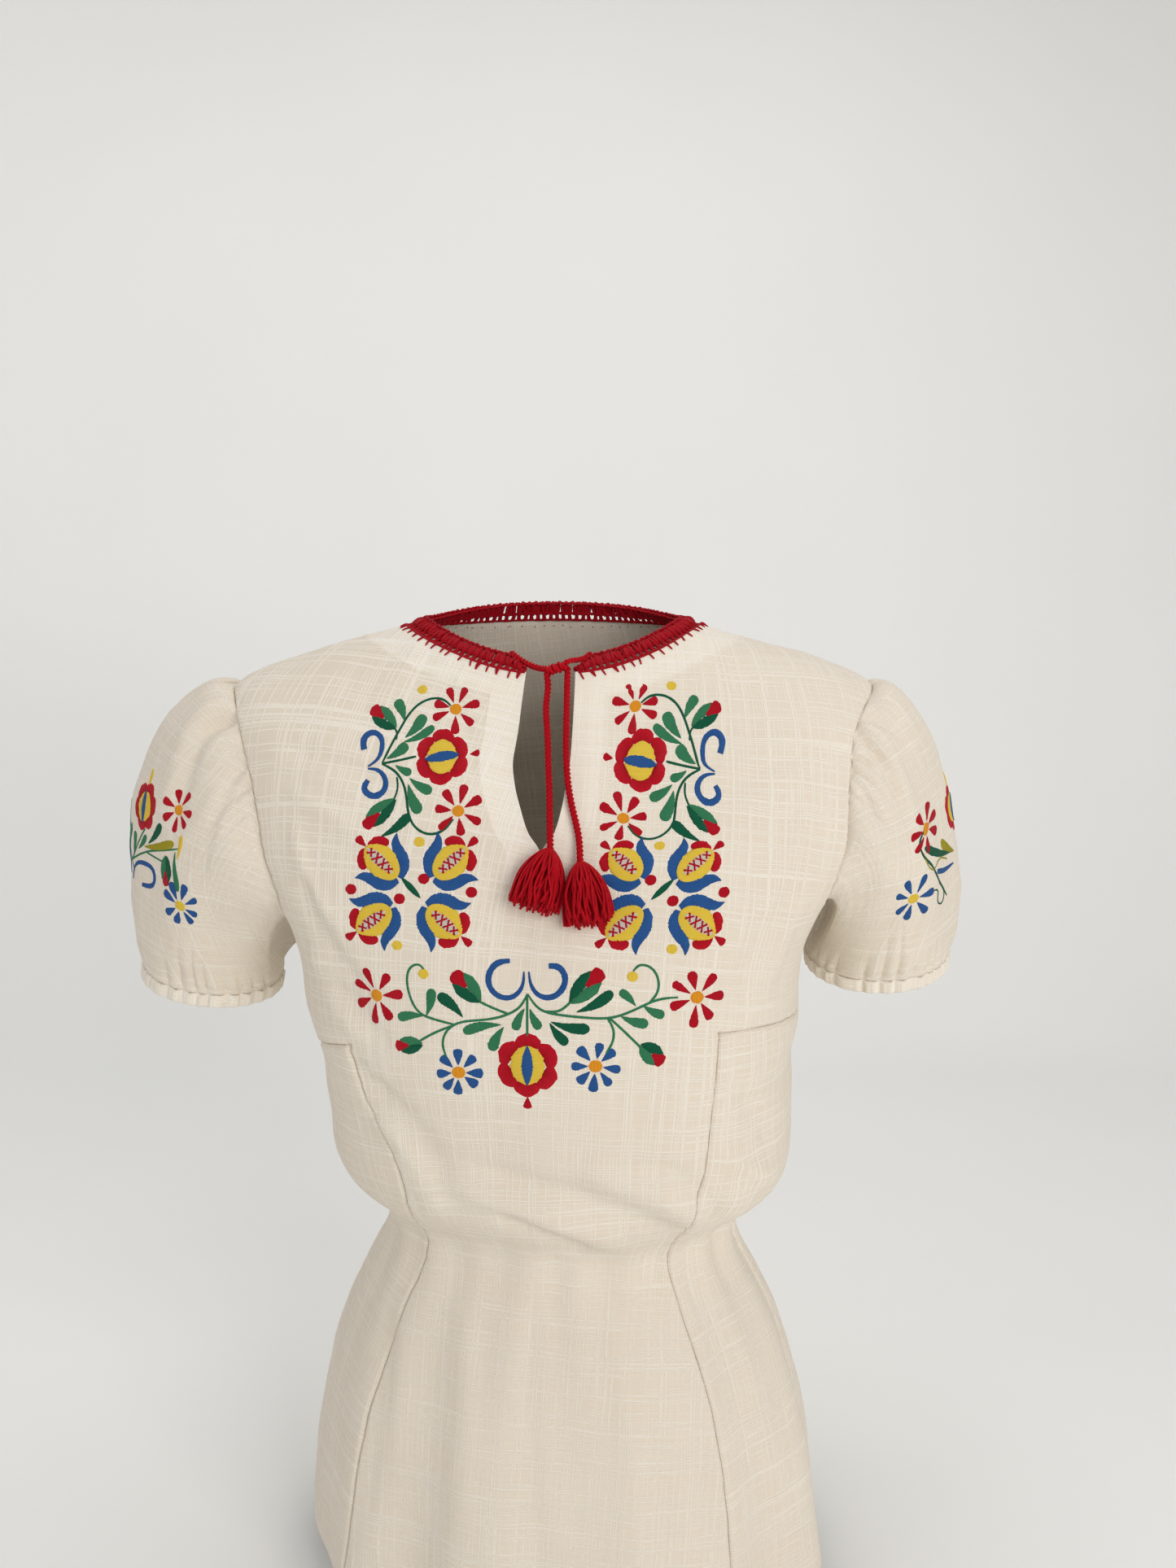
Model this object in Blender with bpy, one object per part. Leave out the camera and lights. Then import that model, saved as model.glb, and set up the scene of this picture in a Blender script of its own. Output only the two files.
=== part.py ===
# An embroidered folk blouse, worn and filled out: an open shell of sewn cloth pieces.
# Metres, +Z up. The front faces -Y, and left is the side towards -X.
# The origin is the middle of the neck, level with the sides of the neckline.

import math

import bmesh
import bpy
import numpy as np
from mathutils import Matrix, Vector

# Cloth and seams
WALL = 0.0012
SEAM_GAP = 0.0003
STEP = 1e-4
WELD = 1e-7
SHARP_ANGLE = 50.0

# The body of the blouse as rings, from the neckline out over the shoulders and down to the hem.
# Lengths in metres, turn in degrees about +Z, flat as the share by which a ring is squared.
TORSO_COLUMNS = (
    "level", "across", "y_side", "y_front", "y_back", "z_front", "z_side", "z_back",
    "flat_front", "flat_back", "x_mid", "turn",
)
TORSO_ROWS = (
    ("neckline", 0.0925, 0.002, -0.058, 0.062, -0.0315, 0.000, 0.006, 0.02, 0.02, 0.000, 0.0),
    ("yoke", 0.1470, 0.004, -0.080, 0.082, -0.074, -0.0145, -0.030, 0.05, 0.05, 0.000, 0.0),
    ("shoulder", 0.1990, 0.006, -0.098, 0.096, -0.110, -0.0355, -0.070, 0.10, 0.12, 0.000, 0.5),
    ("upper chest", 0.2130, 0.008, -0.109, 0.104, -0.147, -0.078, -0.112, 0.16, 0.20, 0.000, 1.5),
    ("chest", 0.1970, 0.008, -0.117, 0.106, -0.184, -0.134, -0.153, 0.22, 0.25, 0.000, 3.0),
    ("underarm", 0.1625, 0.006, -0.123, 0.103, -0.219, -0.192, -0.192, 0.28, 0.28, -0.002, 5.0),
    ("bust", 0.1555, 0.002, -0.125, 0.099, -0.255, -0.250, -0.240, 0.32, 0.28, 0.001, 7.0),
    ("under bust", 0.1465, 0.000, -0.121, 0.093, -0.300, -0.300, -0.292, 0.30, 0.26, 0.006, 8.5),
    ("overhang", 0.1400, 0.000, -0.111, 0.088, -0.344, -0.342, -0.340, 0.24, 0.22, 0.006, 10.0),
    ("waist", 0.1145, 0.000, -0.090, 0.080, -0.376, -0.377, -0.377, 0.12, 0.12, 0.004, 11.0),
    ("high hip", 0.1370, 0.002, -0.103, 0.098, -0.430, -0.430, -0.430, 0.10, 0.12, 0.004, 11.0),
    ("hip", 0.1600, 0.004, -0.118, 0.120, -0.505, -0.505, -0.505, 0.10, 0.14, 0.004, 11.0),
    ("hem", 0.1700, 0.004, -0.124, 0.128, -0.585, -0.585, -0.585, 0.10, 0.14, 0.004, 11.0),
)
LEVELS = {row[0]: float(place) for place, row in enumerate(TORSO_ROWS)}

# The rows of the cloth grid: the level at the middle, and the level at the side edge
# on the left and on the right. The armhole rows take theirs from ARMHOLE_ROWS.
SHOULDER_MIDDLES = (0.0, 0.35, 0.75, 1.15, 1.56)
SHOULDER_EDGES = (0.0, 0.5, 1.0, 1.5, 2.0)
ARMHOLE_MIDDLES = (1.90, 2.25, 2.60, 3.00, 3.40, 3.80, 4.20, 4.60, 5.00)
SIDE_MIDDLES = (5.3, 5.6)
LOWER_LEVELS = (6.1, 6.6, 7.1, 7.6, 8.0, 8.4, 8.7, 9.0, 9.4, 9.9, 10.5, 11.2, 12.0)
LOWER_STEP = 0.2
BUST_SEAM_EDGE = {"left": 6.40, "right": 5.85}
BUST_SEAM_INNER = {"left": 5.78, "right": 5.50}

# The armholes, from the shoulder point to the underarm: a level, and the angles of the
# front and back edges in degrees from the middle of the front.
ARMHOLE_COLUMNS = (
    "point", "level_left", "front_left", "back_left", "level_right", "front_right", "back_right",
)
ARMHOLE_ROWS = (
    ("shoulder", 2.00, 90.0, 90.0, 2.00, 90.0, 90.0),
    ("cap", 2.20, 70.0, 109.0, 2.18, 66.0, 112.0),
    ("upper", 2.62, 58.5, 119.0, 2.55, 57.5, 120.0),
    ("middle", 3.20, 54.0, 123.0, 3.15, 55.5, 123.0),
    ("lower", 3.85, 54.5, 122.0, 3.80, 59.0, 120.0),
    ("curve", 4.55, 62.0, 114.0, 4.38, 67.0, 110.0),
    ("underarm", 5.15, 90.0, 90.0, 4.78, 90.0, 90.0),
)

# The princess seams and the slit: a level, and the angles of the two edges in degrees.
PRINCESS_COLUMNS = ("level", "left", "right")
PRINCESS_ROWS = (
    (0.0, 45.0, 45.0),
    (2.0, 44.0, 44.0),
    (4.0, 38.0, 40.0),
    (5.5, 40.5, 43.0),
    (6.2, 41.5, 42.5),
    (7.0, 35.0, 42.0),
    (7.7, 30.5, 40.0),
    (8.4, 33.0, 42.0),
    (9.0, 36.0, 44.0),
    (12.0, 42.0, 46.0),
)
PRINCESS_LIMIT = 0.8
SLIT_COLUMNS = ("level", "left", "right")
SLIT_ROWS = (
    (0.00, -9.2, 8.6),
    (0.35, -8.6, 6.9),
    (0.75, -8.0, 5.4),
    (1.15, -7.7, 4.2),
    (1.56, -6.2, 3.0),
    (1.90, -4.6, 2.2),
    (2.25, -3.0, 1.2),
    (2.60, -0.8, -0.8),
)
SLIT_LAST_ROW = len(SLIT_ROWS) - 1
MIDDLE_COLUMNS = 7
FACING_COLUMNS = 2
FACING_WIDTH = 0.019
FACING_WALL = 0.0010
FACING_SETBACK = 0.0004
OUTER_COLUMNS = 5
BACK_COLUMNS = 7

# Soft tucks drawn in at the waist, all round. Columns: angle in degrees, depth in metres,
# half width in degrees.
TUCK_ROWS = (
    (-168, 0.0040, 6.0), (-147, 0.0050, 6.5), (-128, 0.0035, 5.5), (-112, 0.0045, 6.0),
    (-94, 0.0030, 5.5), (-76, 0.0040, 5.5), (-58, 0.0030, 5.0), (-41, 0.0022, 5.5),
    (-24, 0.0018, 6.0), (-9, 0.0022, 5.5), (8, 0.0030, 5.0), (22, 0.0024, 5.5),
    (38, 0.0034, 5.5), (54, 0.0040, 5.5), (70, 0.0046, 6.0), (88, 0.0030, 5.5),
    (106, 0.0045, 6.0), (124, 0.0035, 5.5), (143, 0.0050, 6.5), (163, 0.0040, 6.0),
)
TUCK_REACH_UP = 0.75
TUCK_REACH_DOWN = 2.6
# The waves of the tail: how deep, then waves round the body, share and shift
HEM_WAVE = 0.004
HEM_WAVES = ((9, 1.0, 0.6), (13, 0.6, 2.1))
# Where the bust seams draw the cloth in, and where it swells over the waist. Columns: angle in
# degrees, level, depth in metres, half width in degrees, half height in levels.
DENT_ROWS = (
    (-76.0, 6.15, 0.0060, 24.0, 0.35),
    (80.0, 6.35, 0.0050, 22.0, 0.35),
    (60.0, 7.50, -0.0035, 16.0, 0.55),
    (-64.0, 7.30, -0.0020, 14.0, 0.50),
)

# The sleeves: where each hem ring lies, and how the cloth leaves the armhole and meets the hem.
SLEEVES = {
    "left": {
        "side": -1.0, "hem_middle": (0.2265, 0.020, -0.2240), "hem_radius": 0.0445,
        "hem_rise": 10.0, "hem_dip": 8.0,
    },
    "right": {
        "side": 1.0, "hem_middle": (0.2120, 0.018, -0.2110), "hem_radius": 0.0458,
        "hem_rise": 4.0, "hem_dip": 14.0,
    },
}
PULL_COLUMNS = (
    "line", "start_out", "start_up", "start_fore", "end_out", "end_up", "end_fore",
)
PULL_ROWS = {
    "left": (
        ("top", 0.255, 0.020, 0.000, -0.036, -0.086, 0.000),
        ("front", 0.080, -0.040, 0.060, -0.010, -0.110, -0.050),
        ("under", 0.026, -0.012, 0.000, -0.012, -0.050, 0.000),
        ("back", 0.080, -0.040, -0.060, -0.010, -0.110, 0.050),
    ),
    "right": (
        ("top", 0.150, 0.026, 0.000, -0.055, -0.080, 0.000),
        ("front", 0.090, -0.030, 0.060, -0.010, -0.105, -0.050),
        ("under", 0.034, -0.012, 0.000, -0.012, -0.050, 0.000),
        ("back", 0.090, -0.030, -0.060, -0.010, -0.105, 0.050),
    ),
}
SLEEVE_ROWS = (0.0, 0.06, 0.16, 0.32, 0.52, 0.72, 0.88, 1.0)
SLEEVE_SPLITS = 4
SLEEVE_GATHERS = 24
CAP_GATHER_DEPTH = 0.0016
CAP_GATHER_SPREAD = 1.4
CAP_GATHER_FROM = 0.06
CAP_GATHER_TO = 0.50
HEM_GATHER_DEPTH = 0.0011
HEM_GATHER_FROM = 0.45
GATHER_UNEVEN = 0.35
CASING_HEIGHT = 0.0088
CASING_WALL = 0.0020
CASING_OUT = 0.0004

# The crochet edging round the neck
EDGING_WIDTH = 0.0115
EDGING_END_WIDTH = 0.0030
EDGING_TAPER = 0.014
EDGING_WALL = 0.0026
EDGING_SPLITS = 3
EDGING_SCALLOP = 0.0010
EDGING_RISE = {"front": 44.0, "side": 22.0, "back": 66.0}

# The tie: a twisted cord that comes out of the edging on both sides of the slit, crosses in one
# knot, and hangs in two ends with a tassel each. Free points of the ends by hand, in metres.
CORD_RADIUS = 0.0017
CORD_POINT_SPACING = 0.007
END_ROUTES = {
    "left": (
        (-0.0024, -0.0690, -0.0480), (-0.0016, -0.0785, -0.0640), (-0.0008, -0.0870, -0.0800),
        (0.0000, -0.0955, -0.0975), (0.0004, -0.1020, -0.1120),
    ),
    "right": (
        (0.0094, -0.0705, -0.0480), (0.0092, -0.0790, -0.0640), (0.0094, -0.0875, -0.0800),
        (0.0106, -0.0945, -0.0940), (0.0134, -0.1005, -0.1080), (0.0164, -0.1060, -0.1210),
    ),
}
SPAN_RUNS = (0.0130, 0.0085)
SPAN_LIFT = {"left": 0.0035, "right": 0.0033}
SPAN_CLEAR = 0.0012
KNOT_MIDDLE = (0.0030, -0.0610, -0.0282)
KNOT_HALF = (0.0072, 0.0032, 0.0038)
KNOT_TILT = 17.0
KNOT_END_SHARES = (0.64, 0.72)
KNOT_END_CLEAR = {"left": 0.0009, "right": 0.0018}
TASSEL_CLEAR = 0.0007

# The tassels. Columns: side, the middle of the head, the way the threads hang, and how far
# they spread. The head is rings of radius and height.
TASSEL_ROWS = (
    ("left", -0.0004, -0.1118, -0.1315, -0.30, -0.20, -0.95, 0.0152),
    ("right", 0.0180, -0.1140, -0.1385, 0.16, -0.17, -0.97, 0.0145),
)
TASSEL_SIDES = 12
TASSEL_HEAD = (
    (0.0022, 0.0050), (0.0044, 0.0036), (0.0052, 0.0014), (0.0046, -0.0006), (0.0052, -0.0030),
)
TASSEL_TIP = 0.0006
TASSEL_FOOT = (0.0036, 0.0020)
TASSEL_LENGTH = 0.0265
TASSEL_FLATTEN = 0.30
STRAND_SHARES = (0.45, 1.0)
STRAND_BULGE = (0.84, 1.0)
STRAND_INSET = 0.72
STRAND_UNEVEN = 0.05
STRAND_PHASE = (9000.0, 7000.0)

# Colours, roughness
CLOTH_LOOK = ((0.80, 0.76, 0.67), 0.85)
CASING_LOOK = ((0.84, 0.80, 0.72), 0.85)
RED_LOOK = ((0.48, 0.006, 0.025), 0.70)


def column(rows, columns, name):
    """One named column of a table."""
    place = columns.index(name)
    return np.array([row[place] for row in rows], float)


def bend_values(places, values):
    """The second derivatives of the natural cubic through the values."""
    count = len(values)
    system = np.eye(count)
    right = np.zeros(count)
    for i in range(1, count - 1):
        before = places[i] - places[i - 1]
        after = places[i + 1] - places[i]
        system[i, i - 1:i + 2] = (before, 2 * (before + after), after)
        right[i] = 6 * ((values[i + 1] - values[i]) / after - (values[i] - values[i - 1]) / before)
    return np.linalg.solve(system, right)


def spline(places, values, at):
    """A smooth curve through the values at the given places."""
    places = np.asarray(places, float)
    values = np.asarray(values, float)
    bend = bend_values(places, values)
    at = np.asarray(at, float)
    i = np.clip(np.searchsorted(places, at, side="right") - 1, 0, len(places) - 2)
    width = places[i + 1] - places[i]
    f = (at - places[i]) / width
    g = 1 - f
    curve = ((g**3 - g) * bend[i] + (f**3 - f) * bend[i + 1]) * width**2 / 6
    return g * values[i] + f * values[i + 1] + curve


def unit(vectors):
    """The vectors at length one."""
    return vectors / np.linalg.norm(vectors, axis=-1, keepdims=True)


def smooth(share):
    """An S-shaped ramp from 0 to 1."""
    share = np.clip(share, 0, 1)
    return share * share * (3 - 2 * share)


def bare_torso(level, angle):
    """The ring surface without its folds. Angles in radians, 0 at the front, + to the right."""
    places = np.arange(len(TORSO_ROWS))
    at = {name: spline(places, column(TORSO_ROWS, TORSO_COLUMNS, name), level)
          for name in TORSO_COLUMNS[1:]}
    sine = np.sin(angle)
    front = np.maximum(np.cos(angle), 0)
    back = np.maximum(-np.cos(angle), 0)
    x = at["across"] * sine
    y_fore = (at["y_front"] - at["y_side"]) * front * (1 + at["flat_front"] * sine**2)
    y_aft = (at["y_back"] - at["y_side"]) * back * (1 + at["flat_back"] * sine**2)
    y = at["y_side"] + y_fore + y_aft
    z_fore = (at["z_front"] - at["z_side"]) * front**2
    z_aft = (at["z_back"] - at["z_side"]) * back**2
    z = at["z_side"] + z_fore + z_aft
    turn = np.radians(at["turn"])
    across = at["x_mid"] + np.cos(turn) * x + np.sin(turn) * y
    along = np.cos(turn) * y - np.sin(turn) * x
    return np.stack([across, along, z], axis=-1)


def surface_normal(surface, level, angle):
    """The outward direction of a surface of level and angle."""
    down = surface(level + STEP, angle) - surface(level - STEP, angle)
    around = surface(level, angle + STEP) - surface(level, angle - STEP)
    return unit(np.cross(down, around))


def fold_depth(level, angle):
    """How far the waist tucks, the dents and the waves of the tail move the cloth out."""
    waist = LEVELS["waist"]
    above = smooth(1 - (waist - level) / TUCK_REACH_UP)
    below = smooth(1 - (level - waist) / TUCK_REACH_DOWN)
    reach = np.where(level < waist, above, below)
    degrees = np.degrees(angle)
    depth = np.zeros(np.broadcast(level, angle).shape)
    for place, deep, half_width in TUCK_ROWS:
        away = (degrees - place + 180) % 360 - 180
        depth = depth - deep * np.exp(-(away / half_width) ** 2)
    dents = np.zeros(depth.shape)
    for place, at_level, deep, half_angle, half_level in DENT_ROWS:
        away = ((degrees - place + 180) % 360 - 180) / half_angle
        dents = dents - deep * np.exp(-away**2 - ((level - at_level) / half_level) ** 2)
    tail = smooth((level - waist) / (LEVELS["hem"] - waist))
    waves = sum(share * np.cos(count * angle + shift) for count, share, shift in HEM_WAVES)
    return depth * reach + dents + HEM_WAVE * tail * waves


def torso(level, angle):
    """The ring surface with its folds."""
    level, angle = np.broadcast_arrays(np.asarray(level, float), np.asarray(angle, float))
    lift = fold_depth(level, angle)[..., None]
    return bare_torso(level, angle) + lift * surface_normal(bare_torso, level, angle)


def length_per_level(level, angle):
    """Metres of cloth for one level, at a place."""
    return np.linalg.norm(torso(level + STEP, angle) - torso(level - STEP, angle), axis=-1) / (2 * STEP)


def length_per_radian(level, angle):
    """Metres of cloth for one radian, at a place."""
    return np.linalg.norm(torso(level, angle + STEP) - torso(level, angle - STEP), axis=-1) / (2 * STEP)


def armhole(side, face):
    """The levels and angles of one edge of an armhole, from the shoulder point to the underarm."""
    places = np.arange(len(ARMHOLE_ROWS))
    share = np.linspace(0, 1, len(ARMHOLE_MIDDLES) + 1)
    at = places[-1] * (share + 0.5 * share * (1 - share) * (1 - 2 * share))
    level = spline(places, column(ARMHOLE_ROWS, ARMHOLE_COLUMNS, "level_" + side), at)
    degrees = spline(places, column(ARMHOLE_ROWS, ARMHOLE_COLUMNS, face + "_" + side), at)
    return level, np.radians(degrees)


def edge_rows(side, face):
    """The level at the middle, and the level and angle at the side edge, for every row."""
    level, angle = armhole(side, face)
    middle = np.array(SHOULDER_MIDDLES + ARMHOLE_MIDDLES + SIDE_MIDDLES + LOWER_LEVELS)
    seam_from = level[-1]
    seam_to = BUST_SEAM_EDGE[side]
    side_edge = [0.5 * (seam_from + seam_to), seam_to]
    lower = [max(place, seam_to + LOWER_STEP * (row + 1)) for row, place in enumerate(LOWER_LEVELS)]
    edge = np.concatenate([SHOULDER_EDGES, level[1:], side_edge, lower])
    straight = np.full(len(middle), math.pi / 2)
    straight[len(SHOULDER_EDGES):len(SHOULDER_EDGES) + len(ARMHOLE_MIDDLES)] = angle[1:]
    return middle, edge, straight


UNDERARM_ROW = len(SHOULDER_EDGES) + len(ARMHOLE_MIDDLES) - 1
BUST_ROW = UNDERARM_ROW + len(SIDE_MIDDLES)
SHOULDER_ROW = len(SHOULDER_EDGES) - 1
LAST_ROW = BUST_ROW + len(LOWER_LEVELS)
SIGN = {"left": -1.0, "right": 1.0}


def princess_angle(side, level):
    """The angle of the princess line at a level, in radians."""
    places = column(PRINCESS_ROWS, PRINCESS_COLUMNS, "level")
    return np.radians(spline(places, column(PRINCESS_ROWS, PRINCESS_COLUMNS, side), level))


def middle_angle(side, middle):
    """The signed angle of the slit's edge, and below it of the middle line."""
    places = column(SLIT_ROWS, SLIT_COLUMNS, "level")
    degrees = column(SLIT_ROWS, SLIT_COLUMNS, side)
    return np.radians(np.interp(middle, places, degrees))


def front_half(side):
    """The levels and signed angles of one half of the front's grid, side panel included."""
    middle, edge, edge_angle = edge_rows(side, "front")
    sign = SIGN[side]
    inner_share = np.linspace(0, 1, MIDDLE_COLUMNS + 1)
    outer_share = np.linspace(0, 1, OUTER_COLUMNS + 1)[1:]
    inner_angle = middle_angle(side, middle)[:, None]
    level = np.empty((len(middle), MIDDLE_COLUMNS + OUTER_COLUMNS + 1))
    angle = np.empty_like(level)
    seam_level = middle + (edge - middle) * 0.5
    seam_level[BUST_ROW] = BUST_SEAM_INNER[side]
    seam_angle = sign * princess_angle(side, seam_level)[:, None]
    limit = sign * edge_angle[:, None]
    limit_share = PRINCESS_LIMIT * limit
    seam_angle = np.where(abs(seam_angle) > abs(limit_share), limit_share, seam_angle)
    faced = sign * FACING_WIDTH / length_per_radian(middle, inner_angle[:, 0])[:, None]
    near_share = np.linspace(0, 1, FACING_COLUMNS + 1)
    far_share = np.linspace(0, 1, MIDDLE_COLUMNS - FACING_COLUMNS + 1)
    angle[:, :FACING_COLUMNS + 1] = inner_angle + faced * near_share
    near = inner_angle + faced
    angle[:, FACING_COLUMNS:MIDDLE_COLUMNS + 1] = near + (seam_angle - near) * far_share
    angle[:, MIDDLE_COLUMNS + 1:] = seam_angle + (limit - seam_angle) * outer_share
    bow = inner_share**2
    level[:, :MIDDLE_COLUMNS + 1] = middle[:, None] + (seam_level - middle)[:, None] * bow
    level[:, MIDDLE_COLUMNS + 1:] = seam_level[:, None] + (edge - seam_level)[:, None] * outer_share
    return level, angle


def back_half(side):
    """The levels and signed angles of one half of the back's grid, from the middle to the side."""
    middle, edge, edge_angle = edge_rows(side, "back")
    share = np.linspace(0, 1, BACK_COLUMNS + 1)
    sign = SIGN[side]
    angle = sign * (math.pi + (edge_angle[:, None] - math.pi) * share)
    level = middle[:, None] + (edge - middle)[:, None] * share**2
    return level, angle


def part_seam(level, angle, rows, columns, towards):
    """Draws the points of an edge back by half a seam gap, along the rows or the columns."""
    place = np.ix_(rows, columns)
    if towards in ("up", "down"):
        way = -1.0 if towards == "up" else 1.0
        level[place] += way * 0.5 * SEAM_GAP / length_per_level(level[place], angle[place])
    else:
        way = 1.0 if towards == "plus" else -1.0
        angle[place] += way * 0.5 * SEAM_GAP / length_per_radian(level[place], angle[place])


def grid_cells(rows, columns):
    """The four corner places of each cell of a grid."""
    return [((r, c), (r + 1, c), (r + 1, c + 1), (r, c + 1))
            for r in range(rows - 1) for c in range(columns - 1)]


def new_material(name, look):
    """A plain dry material."""
    colour, roughness = look
    material = bpy.data.materials.new(name)
    material.use_nodes = True
    shader = material.node_tree.nodes["Principled BSDF"]
    shader.inputs["Base Color"].default_value = (*colour, 1.0)
    shader.inputs["Roughness"].default_value = roughness
    shader.inputs["Metallic"].default_value = 0.0
    return material


def new_object(name, points, faces, look):
    """A mesh object of the points and faces, shaded smooth, with its own material."""
    mesh = bpy.data.meshes.new(name)
    mesh.from_pydata([tuple(map(float, p)) for p in points], [], faces)
    mesh.validate()
    mesh.materials.append(new_material(name, look))
    mesh.shade_smooth()
    mesh.set_sharp_from_angle(angle=math.radians(SHARP_ANGLE))
    shape = bpy.data.objects.new(name, mesh)
    bpy.context.scene.collection.objects.link(shape)
    return shape


def welded(points, normals, faces):
    """The same sheet in triangles, with the points that coincide made one."""
    keys = {}
    order = []
    place = {}
    for index in sorted({corner for face in faces for corner in face}):
        key = tuple(np.round(points[index] / WELD).astype(int))
        if key not in keys:
            keys[key] = len(order)
            order.append(index)
        place[index] = keys[key]
    faces = [tuple(dict.fromkeys(place[corner] for corner in face)) for face in faces]
    triangles = []
    for face in faces:
        for second, third in zip(face[1:-1], face[2:]):
            triangles.append((face[0], second, third))
    return points[order], normals[order], triangles


def new_shell(name, points, normals, faces, look, wall=WALL):
    """A sheet of outward faces made a closed wall, by a copy moved in along the normals."""
    points, normals, faces = welded(points, normals, faces)
    inner = points - wall * normals
    count = len(points)
    edges = {}
    for face in faces:
        for start, end in zip(face, face[1:] + face[:1]):
            edges[(start, end)] = True
    rim = [(start, end) for start, end in edges if (end, start) not in edges]
    inside = [tuple(corner + count for corner in reversed(face)) for face in faces]
    sides = [(end, start, start + count, end + count) for start, end in rim]
    return new_object(name, np.concatenate([points, inner]), faces + inside + sides, look)


def sheet_of(halves):
    """Points, normals and outward faces of half grids, each with the cells that it keeps."""
    points, normals, faces = [], [], []
    start = 0
    for level, angle, cells, flip in halves:
        spots = torso(level, angle)
        points.append(spots.reshape(-1, 3))
        normals.append(surface_normal(torso, level, angle).reshape(-1, 3))
        width = level.shape[1]
        for cell in cells:
            face = tuple(start + r * width + c for r, c in cell)
            faces.append(tuple(reversed(face)) if flip else face)
        start += level.size
    return np.concatenate(points), np.concatenate(normals), faces


def build_front():
    """The front: both halves joined below the slit, cut away under the bust seams."""
    halves = []
    rows = LAST_ROW + 1
    seam = MIDDLE_COLUMNS
    last = MIDDLE_COLUMNS + OUTER_COLUMNS
    for side in ("left", "right"):
        level, angle = front_half(side)
        inward = "plus" if side == "left" else "minus"
        part_seam(level, angle, range(SHOULDER_ROW + 1), [last], inward)
        part_seam(level, angle, range(UNDERARM_ROW, BUST_ROW + 1), [last], inward)
        part_seam(level, angle, range(BUST_ROW, rows), [seam], inward)
        part_seam(level, angle, [BUST_ROW], range(seam, last + 1), "up")
        cells = [cell for cell in grid_cells(rows, last + 1)
                 if cell[0][0] < BUST_ROW or cell[0][1] < seam]
        halves.append((level, angle, cells, side == "left"))
    return new_shell("front", *sheet_of(halves), CLOTH_LOOK)


def build_side_panel(side):
    """An under-bust side panel, between the bust seam, the princess seam and the side seam."""
    level, angle = front_half(side)
    level = level[BUST_ROW:, MIDDLE_COLUMNS:].copy()
    angle = angle[BUST_ROW:, MIDDLE_COLUMNS:].copy()
    rows, columns = level.shape
    outward = "minus" if side == "left" else "plus"
    inward = "plus" if side == "left" else "minus"
    part_seam(level, angle, range(rows), [0], outward)
    part_seam(level, angle, range(rows), [columns - 1], inward)
    part_seam(level, angle, [0], range(columns), "down")
    halves = [(level, angle, grid_cells(rows, columns), side == "left")]
    return new_shell("side_panel_" + side, *sheet_of(halves), CLOTH_LOOK)


def build_back():
    """The back, one piece from shoulder to shoulder and down to the hem."""
    halves = []
    rows = LAST_ROW + 1
    for side in ("left", "right"):
        level, angle = back_half(side)
        outward = "minus" if side == "left" else "plus"
        part_seam(level, angle, range(SHOULDER_ROW + 1), [BACK_COLUMNS], outward)
        part_seam(level, angle, range(UNDERARM_ROW, rows), [BACK_COLUMNS], outward)
        cells = grid_cells(rows, BACK_COLUMNS + 1)
        halves.append((level, angle, cells, side == "right"))
    return new_shell("back", *sheet_of(halves), CLOTH_LOOK)


def build_facing():
    """The facing inside the neckline and round the slit, on the front's own points."""
    halves = []
    last = MIDDLE_COLUMNS + OUTER_COLUMNS
    below = SLIT_LAST_ROW + 1
    for side in ("left", "right"):
        level, angle = front_half(side)
        level = level[:below + 1].copy()
        angle = angle[:below + 1].copy()
        inward = 1.0 if side == "left" else -1.0
        level[0] += FACING_SETBACK / length_per_level(level[0], angle[0])
        slit = slice(0, SLIT_LAST_ROW)
        back = FACING_SETBACK / length_per_radian(level[slit, 0], angle[slit, 0])
        angle[slit, 0] -= inward * back
        end = 2 * FACING_SETBACK / length_per_radian(level[:2, last], angle[:2, last])
        angle[:2, last] += inward * end
        cells = [cell for cell in grid_cells(below + 1, last + 1)
                 if cell[0][0] == 0 or cell[0][1] < FACING_COLUMNS]
        halves.append((level, angle, cells, side == "left"))
    points, normals, faces = sheet_of(halves)
    points = points - (WALL + SEAM_GAP) * normals
    return new_shell("front_facing", points, normals, faces, CASING_LOOK, FACING_WALL)


def chord_points(corners, splits):
    """Each stretch between two corners cut into equal parts; the last corner is left out."""
    parts = []
    for start, end in zip(corners[:-1], corners[1:]):
        share = np.arange(splits)[:, None] / splits
        parts.append(start + (end - start) * share)
    return np.concatenate(parts)


def armhole_ring(side):
    """The armhole's edge as a closed ring, with its out-of-cloth direction and its normal."""
    rings = []
    for face in ("front", "back"):
        level, angle = armhole(side, face)
        angle = SIGN[side] * angle
        rings.append((torso(level, angle), surface_normal(torso, level, angle)))
    corners = np.concatenate([rings[0][0], rings[1][0][::-1][1:]])
    normals = np.concatenate([rings[0][1], rings[1][1][::-1][1:]])
    edge = chord_points(corners, SLEEVE_SPLITS)
    normal = unit(chord_points(normals, SLEEVE_SPLITS))
    along = np.roll(edge, -1, axis=0) - np.roll(edge, 1, axis=0)
    out = unit(np.cross(normal, along) * SIGN[side])
    middle = edge.mean(axis=0)
    out = np.where(((middle - edge) * out).sum(axis=1, keepdims=True) < 0, -out, out)
    return edge, out, normal


def quarter_blend(side, turn, name):
    """A pull of the sleeve's cloth round the arm, from its top, front, under and back lines."""
    top, front, under, back = column(PULL_ROWS[side], PULL_COLUMNS, name)
    cosine = np.cos(turn)
    sine = np.sin(turn)
    length = np.where(cosine > 0, top, under) * cosine**2
    return length + np.where(sine > 0, front, back) * sine**2


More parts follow.
